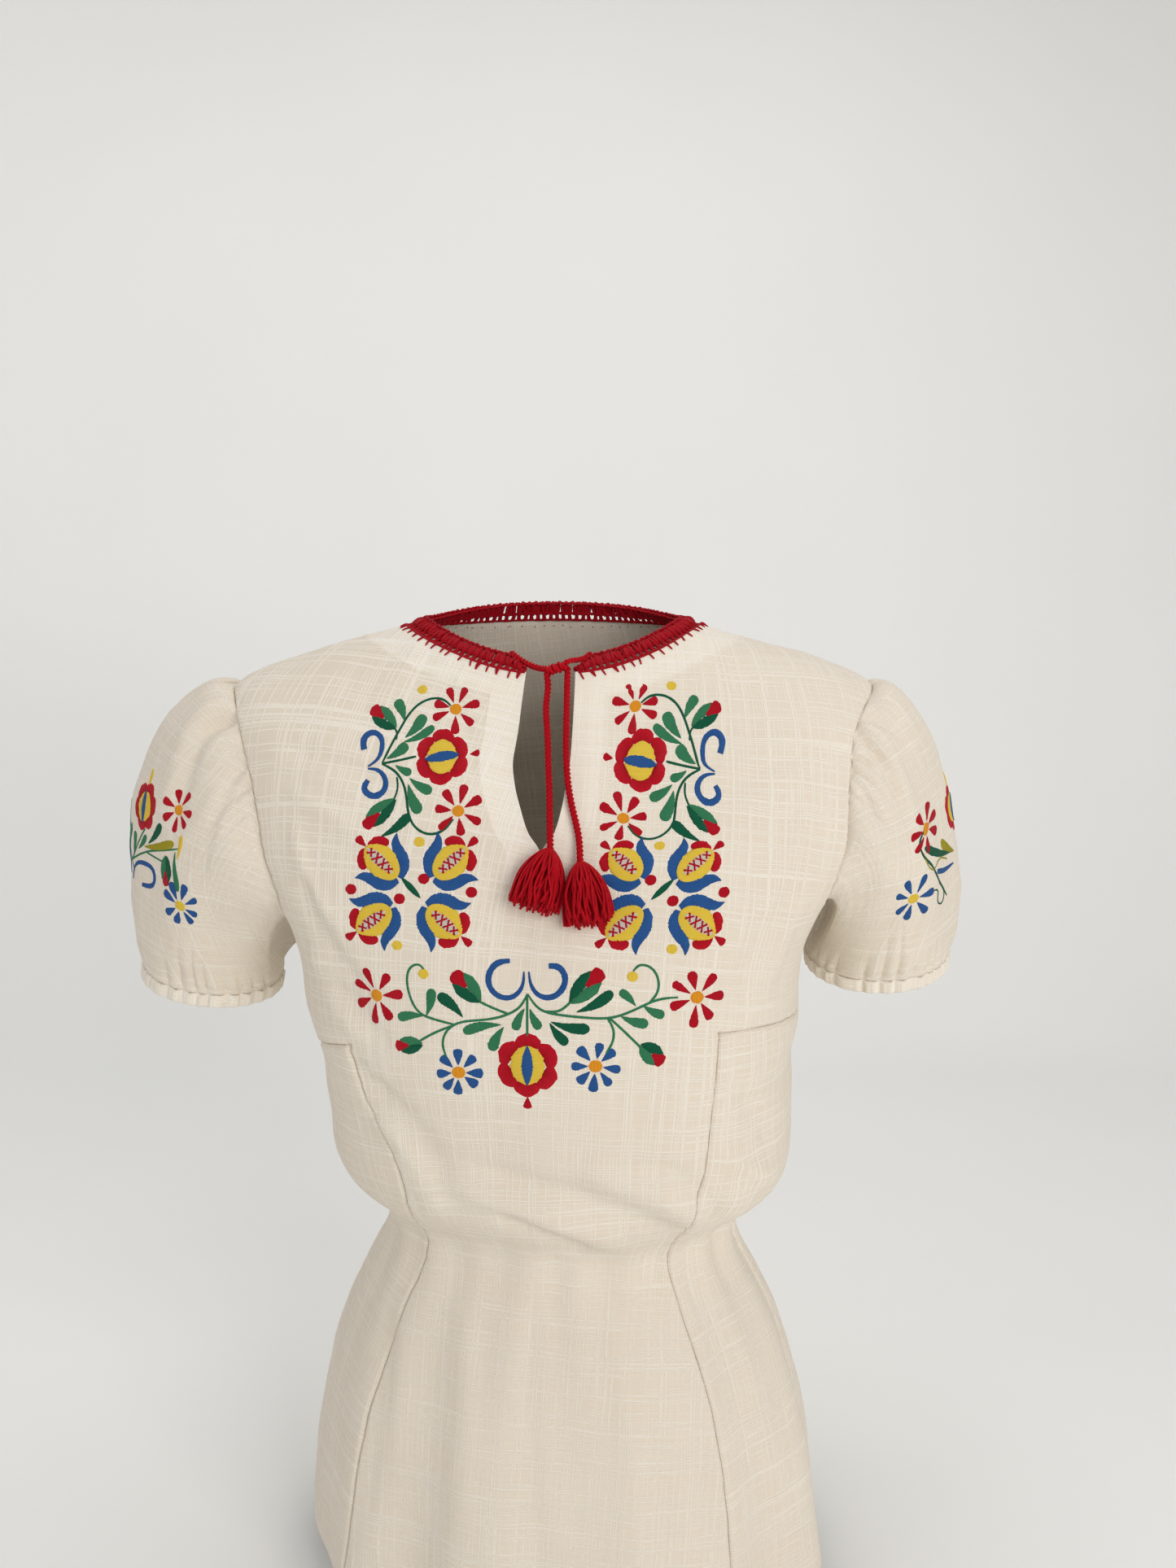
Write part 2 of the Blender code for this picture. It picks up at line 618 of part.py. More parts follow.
def pull(side, turn, end):
    """The pull vectors at the armhole or at the hem."""
    out = SIGN[side] * quarter_blend(side, turn, end + "_out")
    fore = -quarter_blend(side, turn, end + "_fore")
    up = quarter_blend(side, turn, end + "_up")
    return np.stack([out, fore, up], axis=-1)


def hem_ring(side, turn, drop=0.0, out=0.0):
    """The sleeve's hem ring, moved down along the arm and out from it."""
    sizes = SLEEVES[side]
    sign = sizes["side"]
    rise = math.radians(sizes["hem_rise"])
    dip = math.radians(sizes["hem_dip"])
    outward = np.array([sign * math.cos(rise), 0, math.sin(rise)])
    forward = np.array([0, -math.cos(dip), -math.sin(dip)])
    down = unit(np.cross(outward, forward)) * sign
    down = down if down[2] < 0 else -down
    x, y, z = sizes["hem_middle"]
    middle = np.array([sign * x, y, z])
    radius = sizes["hem_radius"] + out + gather_wave(turn, HEM_GATHER_DEPTH)
    ring = np.cos(turn)[..., None] * outward + np.sin(turn)[..., None] * forward
    return middle + radius[..., None] * ring + drop * down, down


def gather_wave(turn, depth):
    """The small waves of the gathers, with a slow change of height round the arm."""
    uneven = 1 + GATHER_UNEVEN * np.cos(3 * turn + 0.7)
    return depth * uneven * np.cos(SLEEVE_GATHERS * turn)


def sleeve_grid(side):
    """The sleeve's points, row by row from the armhole to the hem."""
    edge, out, normal = armhole_ring(side)
    turn = 2 * math.pi * np.arange(len(edge)) / len(edge)
    start = edge + SEAM_GAP * out
    end, down = hem_ring(side, turn)
    start_pull = pull(side, turn, "start")
    end_pull = pull(side, turn, "end")
    s = np.array(SLEEVE_ROWS)[:, None, None]
    grid = ((2 * s**3 - 3 * s**2 + 1) * start + (s**3 - 2 * s**2 + s) * start_pull
            + (3 * s**2 - 2 * s**3) * end + (s**3 - s**2) * end_pull)
    cap = smooth(np.cos(turn) * CAP_GATHER_SPREAD)
    for row, share in enumerate(SLEEVE_ROWS[1:-1], start=1):
        at_cap = cap * smooth(share / CAP_GATHER_FROM) * smooth(1 - share / CAP_GATHER_TO)
        at_hem = smooth((share - HEM_GATHER_FROM) / (1 - HEM_GATHER_FROM))
        away = unit(grid[row] - grid[row].mean(axis=0))
        at_cap = gather_wave(turn, CAP_GATHER_DEPTH) * at_cap
        at_hem = gather_wave(turn, HEM_GATHER_DEPTH) * at_hem
        grid[row] += (at_cap + at_hem)[:, None] * away
    return grid, normal, out, down


def ring_normals(grid):
    """The outward normals of a grid of rings, one-sided at its first and last rows."""
    down = np.gradient(grid, axis=0)
    around = np.roll(grid, -1, axis=1) - np.roll(grid, 1, axis=1)
    normal = unit(np.cross(down, around))
    middle = grid.mean(axis=1, keepdims=True)
    inward = ((grid - middle) * normal).sum() < 0
    return -normal if inward else normal


def ring_faces(rows, columns, flip):
    """Faces of a grid of closed rings."""
    faces = []
    for r in range(rows - 1):
        for c in range(columns):
            after = (c + 1) % columns
            face = (r * columns + c, (r + 1) * columns + c,
                    (r + 1) * columns + after, r * columns + after)
            faces.append(tuple(reversed(face)) if flip else face)
    return faces


def outward_faces(grid, normals):
    """The faces of a grid of rings, turned to face along the normals."""
    rows, columns = grid.shape[:2]
    first = np.cross(grid[1, 0] - grid[0, 0], grid[0, 1] - grid[0, 0])
    return ring_faces(rows, columns, float(first @ normals[0, 0]) < 0)


def build_sleeve(side):
    """A set-in sleeve, gathered at its head and at its hem."""
    grid, seam_normal, out, down = sleeve_grid(side)
    normals = ring_normals(grid)
    first = normals[0] + seam_normal
    lean = (first * out).sum(axis=1, keepdims=True)
    first = first - np.maximum(lean, 0) * out
    normals[0] = unit(first)
    sink = (normals[-1] * down).sum(axis=1, keepdims=True)
    normals[-1] = unit(normals[-1] - np.minimum(sink, 0) * down)
    faces = outward_faces(grid, normals)
    flat = grid.reshape(-1, 3)
    return new_shell("sleeve_" + side, flat, normals.reshape(-1, 3), faces, CLOTH_LOOK)


def build_casing(side):
    """The elastic casing at the sleeve's hem, a doubled wall."""
    count = SLEEVE_SPLITS * 2 * len(ARMHOLE_MIDDLES)
    turn = 2 * math.pi * np.arange(count) / count
    top, _ = hem_ring(side, turn, SEAM_GAP, CASING_OUT)
    bottom, _ = hem_ring(side, turn, SEAM_GAP + CASING_HEIGHT, CASING_OUT)
    grid = np.array([top, bottom])
    normals = np.array([unit(ring - ring.mean(axis=0)) for ring in grid])
    faces = outward_faces(grid, normals)
    flat = grid.reshape(-1, 3)
    name = "sleeve_band_" + side
    return new_shell(name, flat, normals.reshape(-1, 3), faces, CASING_LOOK, CASING_WALL)


def neckline_ring():
    """The neckline's edge from the slit's left corner round the back to its right corner."""
    stretches = []
    for side in ("left", "right"):
        level, angle = front_half(side)
        stretches.append((level[0], angle[0]))
    left_back = back_half("left")
    right_back = back_half("right")
    levels = np.concatenate([
        stretches[0][0], left_back[0][0][::-1][1:], right_back[0][0][1:], stretches[1][0][::-1][1:]])
    angles = np.concatenate([
        stretches[0][1], left_back[1][0][::-1][1:], right_back[1][0][1:] - 2 * math.pi,
        stretches[1][1][::-1][1:] - 2 * math.pi])
    edge = torso(levels, angles)
    normal = surface_normal(torso, levels, angles)
    out = unit(torso(levels - STEP, angles) - torso(levels, angles))
    return edge, normal, out, angles


def edging_rise(angle):
    """How steeply the edging stands at an angle round the neck, in radians."""
    cosine = np.cos(angle)
    sine = np.sin(angle)
    ends = np.where(cosine > 0, EDGING_RISE["front"], EDGING_RISE["back"])
    return np.radians(ends * cosine**2 + EDGING_RISE["side"] * sine**2)


def split_chords(values, splits):
    """Chord points with the last corner kept."""
    return np.concatenate([chord_points(values, splits), values[-1:]])


def edging_lines():
    """The edging's foot and head lines, its two cross directions and the run from each end."""
    edge, normal, out, angles = neckline_ring()
    edge = split_chords(edge, EDGING_SPLITS)
    normal = unit(split_chords(normal, EDGING_SPLITS))
    out = unit(split_chords(out, EDGING_SPLITS))
    angles = split_chords(angles[:, None], EDGING_SPLITS)[:, 0]
    run = np.concatenate([[0], np.cumsum(np.linalg.norm(np.diff(edge, axis=0), axis=1))])
    from_end = np.minimum(run, run[-1] - run)
    width = EDGING_END_WIDTH + (EDGING_WIDTH - EDGING_END_WIDTH) * smooth(from_end / EDGING_TAPER)
    width = width + EDGING_SCALLOP * np.where(np.arange(len(edge)) % 2 == 0, 0.5, -0.5)
    rise = edging_rise(angles)
    inward = np.stack([-np.sin(angles), np.cos(angles), np.zeros(len(angles))], axis=-1)
    lean = np.cos(rise)[:, None] * inward + np.sin(rise)[:, None] * np.array([0, 0, 1])
    across = unit(np.cross(np.gradient(edge, axis=0), lean))
    across = np.where((across * normal).sum(axis=1, keepdims=True) < 0, -across, across)
    foot = edge + SEAM_GAP * out - 0.5 * WALL * normal
    head = foot + width[:, None] * lean
    return foot, head, normal, across, lean, run


def build_edging():
    """The crochet edging: a strip that stands on the neckline, scalloped along its top."""
    foot, head, normal, across, _, _ = edging_lines()
    half = 0.5 * EDGING_WALL
    ring = np.stack([
        foot + half * normal, head + half * across, head - half * across, foot - half * normal])
    return strip_object("neck_band", ring, RED_LOOK)


def strip_object(name, ring, look):
    """A bar of four long sides, closed at its two ends."""
    count = ring.shape[1]
    points = ring.transpose(1, 0, 2).reshape(-1, 3)
    faces = []
    for i in range(count - 1):
        for k in range(4):
            after = (k + 1) % 4
            faces.append((4 * i + k, 4 * i + after, 4 * i + 4 + after, 4 * i + 4 + k))
    faces.append((3, 2, 1, 0))
    last = 4 * (count - 1)
    faces.append((last, last + 1, last + 2, last + 3))
    return new_object(name, points, faces, look)


def cord_points(route):
    """Points a few diameters apart on the smooth curve through the route."""
    run = np.concatenate([[0], np.cumsum(np.linalg.norm(np.diff(route, axis=0), axis=1))])
    count = round(run[-1] / CORD_POINT_SPACING) + 1
    at = np.linspace(0, run[-1], count)
    return np.stack([spline(run, route[:, axis], at) for axis in range(3)], axis=-1)


def knot_point(x_share, z_share, clear):
    """A place just off the knot, by its shares of the knot's half length and half height."""
    half_x, _, half_z = KNOT_HALF
    tilt = math.radians(KNOT_TILT)
    x = x_share * half_x
    z = z_share * half_z
    length = math.hypot(x, z)
    x, z = x * (1 + clear / length), z * (1 + clear / length)
    turned = np.array([
        x * math.cos(tilt) - z * math.sin(tilt), 0.0, x * math.sin(tilt) + z * math.cos(tilt)])
    return np.array(KNOT_MIDDLE) + turned


def span_route(side):
    """Along the top of the edging, then across to the knot."""
    _, head, _, _, lean, run = edging_lines()
    run = run if side == "left" else run[-1] - run
    order = np.argsort(run)
    top = head + SPAN_LIFT[side] * lean
    route = [[np.interp(at, run[order], top[order, axis]) for axis in range(3)] for at in SPAN_RUNS]
    return np.array(route + [knot_point(SIGN[side], 0, SPAN_CLEAR)])


def end_route(side):
    """From under the knot down the front to the top of the tassel."""
    x_share, z_share = KNOT_END_SHARES
    start = knot_point(SIGN[side] * x_share, -z_share, KNOT_END_CLEAR[side])
    row = next(row for row in TASSEL_ROWS if row[0] == side)
    up = tassel_frame(row[4:7])[2]
    top = np.array(row[1:4]) + (TASSEL_HEAD[0][1] + TASSEL_TIP + TASSEL_CLEAR) * up
    return np.array([start, *END_ROUTES[side], top])


def build_cord(name, route):
    """One stretch of the tie."""
    points = cord_points(route)
    curve = bpy.data.curves.new(name, "CURVE")
    curve.dimensions = "3D"
    curve.bevel_depth = CORD_RADIUS
    curve.bevel_resolution = 2
    curve.use_fill_caps = True
    path = curve.splines.new("POLY")
    path.points.add(len(points) - 1)
    for spot, point in zip(path.points, points):
        spot.co = (*point, 1.0)
    curve.materials.append(new_material(name, RED_LOOK))
    shape = bpy.data.objects.new(name, curve)
    bpy.context.scene.collection.objects.link(shape)
    return shape


def build_knot():
    """The half knot where the two cords cross, over the top of the slit."""
    bpy.ops.mesh.primitive_uv_sphere_add(segments=12, ring_count=8, radius=1.0)
    knot = bpy.context.object
    knot.name = "tie_knot"
    knot.data.name = "tie_knot"
    knot.scale = KNOT_HALF
    knot.rotation_euler = (0, -math.radians(KNOT_TILT), 0)
    knot.location = KNOT_MIDDLE
    knot.data.materials.append(new_material("tie_knot", RED_LOOK))
    knot.data.shade_smooth()
    return knot


def tassel_frame(axis):
    """Three directions: across, in towards the cloth, and up along the tassel."""
    up = -unit(np.array(axis))
    across = unit(np.cross(np.array([0.0, 1.0, 0.0]), up))
    return across, np.cross(up, across), up


def tassel_rings():
    """The head's rings of points, from its top down to the middle of its foot."""
    turn = 2 * math.pi * np.arange(TASSEL_SIDES) / TASSEL_SIDES
    foot = TASSEL_HEAD[-1][1]
    profile = TASSEL_HEAD + tuple((radius, foot) for radius in TASSEL_FOOT)
    return [[(radius * math.cos(a), radius * math.sin(a), height) for a in turn]
            for radius, height in profile]


def grow_strand(body, face, spread):
    """Draws a thread out of a face of the head's foot."""
    middle = face.calc_center_median()
    for corner in face.verts:
        corner.co = middle + (corner.co - middle) * STRAND_INSET
    reach = spread / TASSEL_HEAD[-1][0]
    ring = [corner.co.copy() for corner in face.verts]
    uneven = math.sin(STRAND_PHASE[0] * middle.x + STRAND_PHASE[1] * middle.y)
    length = TASSEL_LENGTH * (1 - STRAND_UNEVEN * (1 - uneven))
    for share, bulge in zip(STRAND_SHARES, STRAND_BULGE):
        out = 1 + (reach - 1) * bulge
        away = Vector((middle.x * out, middle.y * out, middle.z - length * share))
        if away.y > 0:
            away.y *= TASSEL_FLATTEN + (1 - TASSEL_FLATTEN) * (1 - bulge)
        made = bmesh.ops.extrude_discrete_faces(body, faces=[face])
        face = made["faces"][0]
        for corner, start in zip(face.verts, ring):
            corner.co = away + (start - middle)


def build_tassel(row):
    """A tassel: a bound head with its threads standing apart below it."""
    side, x, y, z, axis_x, axis_y, axis_z, spread = row
    body = bmesh.new()
    rings = [[body.verts.new(point) for point in ring] for ring in tassel_rings()]
    top = body.verts.new((0, 0, TASSEL_HEAD[0][1] + TASSEL_TIP))
    foot = body.verts.new((0, 0, TASSEL_HEAD[-1][1]))
    roots = []
    for place in range(TASSEL_SIDES):
        after = (place + 1) % TASSEL_SIDES
        body.faces.new((rings[0][place], rings[0][after], top))
        for upper, lower in zip(rings[:-1], rings[1:]):
            face = body.faces.new((upper[place], lower[place], lower[after], upper[after]))
            if upper in rings[len(TASSEL_HEAD) - 1:]:
                roots.append(face)
        roots.append(body.faces.new((rings[-1][after], rings[-1][place], foot)))
    body.normal_update()
    for face in roots:
        grow_strand(body, face, spread)
    frame = Matrix(tassel_frame((axis_x, axis_y, axis_z))).transposed().to_4x4()
    body.transform(Matrix.Translation((x, y, z)) @ frame)
    mesh = bpy.data.meshes.new("tassel_" + side)
    body.to_mesh(mesh)
    body.free()
    mesh.materials.append(new_material("tassel_" + side, RED_LOOK))
    shape = bpy.data.objects.new("tassel_" + side, mesh)
    bpy.context.scene.collection.objects.link(shape)
    return shape


def clear_scene():
    """Removes whatever the scene holds."""
    for shape in list(bpy.data.objects):
        bpy.data.objects.remove(shape, do_unlink=True)


def main():
    clear_scene()
    build_front()
    for side in ("left", "right"):
        build_side_panel(side)
    build_back()
    for side in ("left", "right"):
        build_sleeve(side)
        build_casing(side)
    build_facing()
    build_edging()
    for side in ("left", "right"):
        build_cord("tie_span_" + side, span_route(side))
        build_cord("tie_end_" + side, end_route(side))
    build_knot()
    for row in TASSEL_ROWS:
        build_tassel(row)


main()
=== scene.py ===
import math
import bpy
import numpy as np
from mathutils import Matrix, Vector


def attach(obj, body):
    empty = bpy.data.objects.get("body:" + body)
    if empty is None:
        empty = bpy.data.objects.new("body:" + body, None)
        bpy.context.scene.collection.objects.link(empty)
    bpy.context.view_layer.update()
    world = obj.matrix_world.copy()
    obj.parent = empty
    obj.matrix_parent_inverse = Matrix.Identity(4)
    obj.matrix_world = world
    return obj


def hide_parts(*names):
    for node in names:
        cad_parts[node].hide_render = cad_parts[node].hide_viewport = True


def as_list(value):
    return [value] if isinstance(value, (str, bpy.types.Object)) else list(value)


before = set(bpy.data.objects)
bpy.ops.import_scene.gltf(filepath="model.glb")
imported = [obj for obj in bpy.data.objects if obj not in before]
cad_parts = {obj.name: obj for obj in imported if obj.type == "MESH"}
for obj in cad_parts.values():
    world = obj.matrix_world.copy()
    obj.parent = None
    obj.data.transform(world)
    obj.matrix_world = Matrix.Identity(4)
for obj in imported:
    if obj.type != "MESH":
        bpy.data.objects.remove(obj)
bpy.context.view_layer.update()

# The camera, the floor and the light.
view = {"at": (0.0215, -0.75, -0.0355), "pitchDown": 5.0, "lens": 26.0, "frameHeight": 34.6, "nearest": 0.02}
studio = {
    "floor": -0.616, "wall": 1.40, "halfWidth": 2.2, "front": -1.9, "height": 2.2, "bend": 0.45,
    "bendSteps": 24, "colour": (0.90, 0.905, 0.885), "paler": 1.04, "patches": 3.0, "roughness": 0.9,
    "air": (0.97, 0.955, 0.97), "airStrength": 0.44, "tones": "Standard",
}
lamps = {  # place, aimed at, size, watts, colour
    "window": ((1.05, -1.75, 0.30), (0, 0, -0.25), 1.1, 19.8, (1.0, 0.975, 0.94)),
    "fill": ((-1.75, -1.00, 0.50), (-0.16, 0, -0.12), 1.3, 5.0, (1.0, 0.98, 0.95)),
    "wallWash": ((-1.50, 0.20, 1.00), (-0.60, 1.40, 0.35), 0.8, 2.7, (1.0, 1.0, 0.98)),
    "ceiling": ((0.15, 0.10, 1.45), (0, 0.05, -0.2), 1.1, 7.0, (1.0, 0.99, 0.97)),
}


def buildCamera():
    lens = bpy.data.cameras.new("camera")
    lens.lens = view["lens"]
    lens.sensor_fit = "VERTICAL"
    lens.sensor_height = view["frameHeight"]
    lens.clip_start = view["nearest"]
    eye = bpy.data.objects.new("camera", lens)
    eye.location = view["at"]
    eye.rotation_euler = (math.radians(90 - view["pitchDown"]), 0, 0)
    bpy.context.scene.collection.objects.link(eye)
    bpy.context.scene.camera = eye


def unit(vectors):  # each vector over its own length
    return vectors / np.maximum(np.linalg.norm(vectors, axis=-1, keepdims=True), 1e-12)


def smooth(share):  # 3s^2 - 2s^3, held between 0 and 1
    share = np.clip(share, 0, 1)
    return share * share * (3 - 2 * share)


def bell(away):  # e to the minus square
    return np.exp(-away**2)


def degreesFrom(place, turn):  # from a place in degrees to a turn in radians, between -180 and 180
    return (np.degrees(turn) - place + 180) % 360 - 180


def runAlong(points):  # the length of a line up to each of its points
    return np.concatenate([[0], np.cumsum(np.linalg.norm(np.diff(points, axis=0), axis=1))])


def naturalCurve(places, values):
    # The natural cubic through rows of values at uneven places. It solves for the second derivatives once
    # and gives back the curve as a function of the place.
    places, values = np.asarray(places, float), np.asarray(values, float)
    table = values.reshape(len(places), -1)
    width = np.diff(places)
    inner = np.arange(1, len(places) - 1)
    system = np.eye(len(places))
    system[inner, inner - 1] = width[:-1]
    system[inner, inner] = 2 * (width[:-1] + width[1:])
    system[inner, inner + 1] = width[1:]
    turned = np.zeros_like(table)
    turned[1:-1] = 6 * np.diff(np.diff(table, axis=0) / width[:, None], axis=0)
    bends = np.linalg.solve(system, turned)

    def curve(at):
        i = np.clip(np.searchsorted(places, at, side="right") - 1, 0, len(places) - 2)
        step = width[i][..., None]
        f = (at - places[i])[..., None] / step
        g = 1 - f
        found = g * table[i] + f * table[i + 1] + ((g**3 - g) * bends[i] + (f**3 - f) * bends[i + 1]) * step**2 / 6
        return found if values.ndim > 1 else found[..., 0]

    return curve


def quadsOf(rows, columns, closed=False):  # the four corners of each cell, row by row
    lastColumn = columns if closed else columns - 1
    r, c = np.meshgrid(np.arange(rows - 1), np.arange(lastColumn), indexing="ij")
    after = (c + 1) % columns
    upper, lower = r * columns, (r + 1) * columns
    return np.stack([upper + c, lower + c, lower + after, upper + after], -1).reshape(-1, 4)


def newMesh(name, points, quads, triangles=None, uv=None, marks=None):
    # Corners go in as one run: quads first, then triangles. uv is one pair for each corner.
    triangles = np.zeros((0, 3), int) if triangles is None else np.asarray(triangles)
    corners = np.concatenate([quads.ravel(), triangles.ravel()]).astype(np.int32)
    starts = np.concatenate([4 * np.arange(len(quads)), 4 * len(quads) + 3 * np.arange(len(triangles))])
    mesh = bpy.data.meshes.new(name)
    mesh.vertices.add(len(points))
    mesh.vertices.foreach_set("co", np.asarray(points, np.float32).ravel())
    mesh.loops.add(len(corners))
    mesh.loops.foreach_set("vertex_index", corners)
    mesh.polygons.add(len(starts))
    mesh.polygons.foreach_set("loop_start", starts.astype(np.int32))
    mesh.update(calc_edges=True)
    if uv is not None:
        layer = mesh.uv_layers.new(name="cloth")
        layer.data.foreach_set("uv", np.asarray(uv, np.float32).ravel())
    for mark, values in (marks or {}).items():
        mesh.attributes.new(mark, "FLOAT", "POINT").data.foreach_set("value", values.astype(np.float32).ravel())
    mesh.shade_smooth()
    return mesh


def newPiece(name, points, quads, finish, triangles=None, uv=None, marks=None, slot=None, replaces=()):
    mesh = newMesh(name, points, quads, triangles, uv, marks)
    mesh.materials.append(finish)
    piece = bpy.data.objects.new(name, mesh)
    bpy.context.scene.collection.objects.link(piece)
    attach(piece, "root")
    if replaces:
        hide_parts(*replaces)
    return piece


buildCamera()
print("camera set")

# The body of the blouse as rings, from the neckline out over the shoulders and down. Columns: how far
# across, y at the side, front and back, z at the front, side and back, how square the front and the back
# are, the middle, and the turn in degrees.
rings = {
    "neckline": (0.0925, 0.002, -0.058, 0.062, -0.0315, 0.000, 0.006, 0.02, 0.02, 0.000, 0.0),
    "yoke": (0.1470, 0.004, -0.080, 0.082, -0.074, -0.0145, -0.030, 0.05, 0.05, 0.000, 0.0),
    "shoulder": (0.1990, 0.006, -0.098, 0.096, -0.110, -0.0355, -0.070, 0.10, 0.12, 0.000, 0.5),
    "upper chest": (0.2130, 0.008, -0.109, 0.104, -0.147, -0.078, -0.112, 0.16, 0.20, 0.000, 1.5),
    "chest": (0.1970, 0.008, -0.117, 0.106, -0.184, -0.134, -0.153, 0.22, 0.25, 0.000, 3.0),
    "underarm": (0.1625, 0.006, -0.123, 0.103, -0.219, -0.192, -0.192, 0.28, 0.28, -0.002, 5.0),
    "bust": (0.1555, 0.002, -0.125, 0.099, -0.255, -0.250, -0.240, 0.32, 0.28, 0.001, 7.0),
    "under bust": (0.1465, 0.000, -0.121, 0.093, -0.300, -0.300, -0.292, 0.30, 0.26, 0.006, 8.5),
    "overhang": (0.1400, 0.000, -0.111, 0.088, -0.344, -0.342, -0.340, 0.24, 0.22, 0.006, 10.0),
    "waist": (0.1145, 0.000, -0.090, 0.080, -0.376, -0.377, -0.377, 0.12, 0.12, 0.004, 11.0),
    "high hip": (0.1370, 0.002, -0.103, 0.098, -0.430, -0.430, -0.430, 0.10, 0.12, 0.004, 11.0),
    "hip": (0.1600, 0.004, -0.118, 0.120, -0.505, -0.505, -0.505, 0.10, 0.14, 0.004, 11.0),
    "hem": (0.1700, 0.004, -0.124, 0.128, -0.585, -0.585, -0.585, 0.10, 0.14, 0.004, 11.0),
}
ringNames = list(rings)
waistLevel, hemLevel = ringNames.index("waist"), ringNames.index("hem")
ringAt = naturalCurve(np.arange(len(rings)), list(rings.values()))
tiny = 1e-4  # a step for slopes

waistTucks = {  # degrees from the front: depth in metres, half width in degrees
    -168: (0.0040, 6.0), -147: (0.0050, 6.5), -128: (0.0035, 5.5), -112: (0.0045, 6.0),
    -94: (0.0030, 5.5), -76: (0.0040, 5.5), -58: (0.0030, 5.0), -41: (0.0022, 5.5),
    -24: (0.0018, 6.0), -9: (0.0022, 5.5), 8: (0.0030, 5.0), 22: (0.0024, 5.5),
    38: (0.0034, 5.5), 54: (0.0040, 5.5), 70: (0.0046, 6.0), 88: (0.0030, 5.5),
    106: (0.0045, 6.0), 124: (0.0035, 5.5), 143: (0.0050, 6.5), 163: (0.0040, 6.0),
}
tuckReach = {"up": 0.75, "down": 2.6}
tailWaves = {"depth": 0.004, "waves": ((9, 1.0, 0.6), (13, 0.6, 2.1))}
dents = (  # degrees, level, depth, half width in degrees, half height in levels
    (-76.0, 6.15, 0.0060, 24.0, 0.35), (80.0, 6.35, 0.0050, 22.0, 0.35),
    (60.0, 7.50, -0.0035, 16.0, 0.55), (-64.0, 7.30, -0.0020, 14.0, 0.50),
)


def bareBody(level, angle):
    # A ring is x = across sin a, with cos a scaled apart for front and back, then turned about z.
    across, ySide, yFront, yBack, zFront, zSide, zBack, squareFront, squareBack, xMid, turn = np.moveaxis(
        ringAt(level), -1, 0)
    sine, cosine = np.sin(angle), np.cos(angle)
    fore, aft = np.maximum(cosine, 0), np.maximum(-cosine, 0)
    x = across * sine
    y = ySide + (yFront - ySide) * fore * (1 + squareFront * sine**2)
    y = y + (yBack - ySide) * aft * (1 + squareBack * sine**2)
    z = zSide + (zFront - zSide) * fore**2 + (zBack - zSide) * aft**2
    turn = np.radians(turn)
    return np.stack([xMid + np.cos(turn) * x + np.sin(turn) * y, np.cos(turn) * y - np.sin(turn) * x, z], -1)


def normalOf(surface, level, angle):  # cross product of the two slopes of the surface
    down = surface(level + tiny, angle) - surface(level - tiny, angle)
    around = surface(level, angle + tiny) - surface(level, angle - tiny)
    return unit(np.cross(down, around))


def foldDepth(level, angle):
    # Bell-shaped tucks that fade up and down from the waist, bell-shaped dents, and cosine waves in the tail.
    above = smooth(1 - (waistLevel - level) / tuckReach["up"])
    below = smooth(1 - (level - waistLevel) / tuckReach["down"])
    reach = np.where(level < waistLevel, above, below)
    depth = np.zeros(level.shape)
    for place, (deep, halfWidth) in waistTucks.items():
        depth -= reach * deep * bell(degreesFrom(place, angle) / halfWidth)
    for place, atLevel, deep, halfAngle, halfLevel in dents:
        depth -= deep * bell(degreesFrom(place, angle) / halfAngle) * bell((level - atLevel) / halfLevel)
    tail = smooth((level - waistLevel) / (hemLevel - waistLevel))
    waves = sum(share * np.cos(count * angle + shift) for count, share, shift in tailWaves["waves"])
    return depth + tailWaves["depth"] * tail * waves


def body(level, angle):  # the rings moved along their normal by the folds
    level, angle = np.broadcast_arrays(np.asarray(level, float), np.asarray(angle, float))
    return bareBody(level, angle) + foldDepth(level, angle)[..., None] * normalOf(bareBody, level, angle)


def perRadian(level, angle):  # metres of cloth for one radian
    return np.linalg.norm(body(level, angle + tiny) - body(level, angle - tiny), axis=-1) / (2 * tiny)


# How the body is cut: a coarse grid of levels and angles for each half.
cut = {
    "shoulderMiddles": (0.0, 0.35, 0.75, 1.15, 1.56), "shoulderEdges": (0.0, 0.5, 1.0, 1.5, 2.0),
    "armholeMiddles": (1.90, 2.25, 2.60, 3.00, 3.40, 3.80, 4.20, 4.60, 5.00), "sideMiddles": (5.3, 5.6),
    "lowerLevels": (6.1, 6.6, 7.1, 7.6, 8.0, 8.4, 8.7, 9.0, 9.4, 9.9, 10.5, 11.2, 12.0),
    "lowerStep": 0.2, "princessLimit": 0.8, "middleColumns": 7, "outerColumns": 5, "backColumns": 7,
    "facingColumns": 2, "facingWidth": 0.019, "crowding": 0.5, "seamShare": 0.5,
    "bustSeamEdge": {"left": 6.40, "right": 5.85}, "bustSeamInner": {"left": 5.78, "right": 5.50},
}
armholes = {  # level left, front angle left, back angle left, then the same on the right
    "shoulder": (2.00, 90.0, 90.0, 2.00, 90.0, 90.0), "cap": (2.20, 70.0, 109.0, 2.18, 66.0, 112.0),
    "upper": (2.62, 58.5, 119.0, 2.55, 57.5, 120.0), "middle": (3.20, 54.0, 123.0, 3.15, 55.5, 123.0),
    "lower": (3.85, 54.5, 122.0, 3.80, 59.0, 120.0), "curve": (4.55, 62.0, 114.0, 4.38, 67.0, 110.0),
    "underarm": (5.15, 90.0, 90.0, 4.78, 90.0, 90.0),
}
armholeAt = naturalCurve(np.arange(len(armholes)), list(armholes.values()))
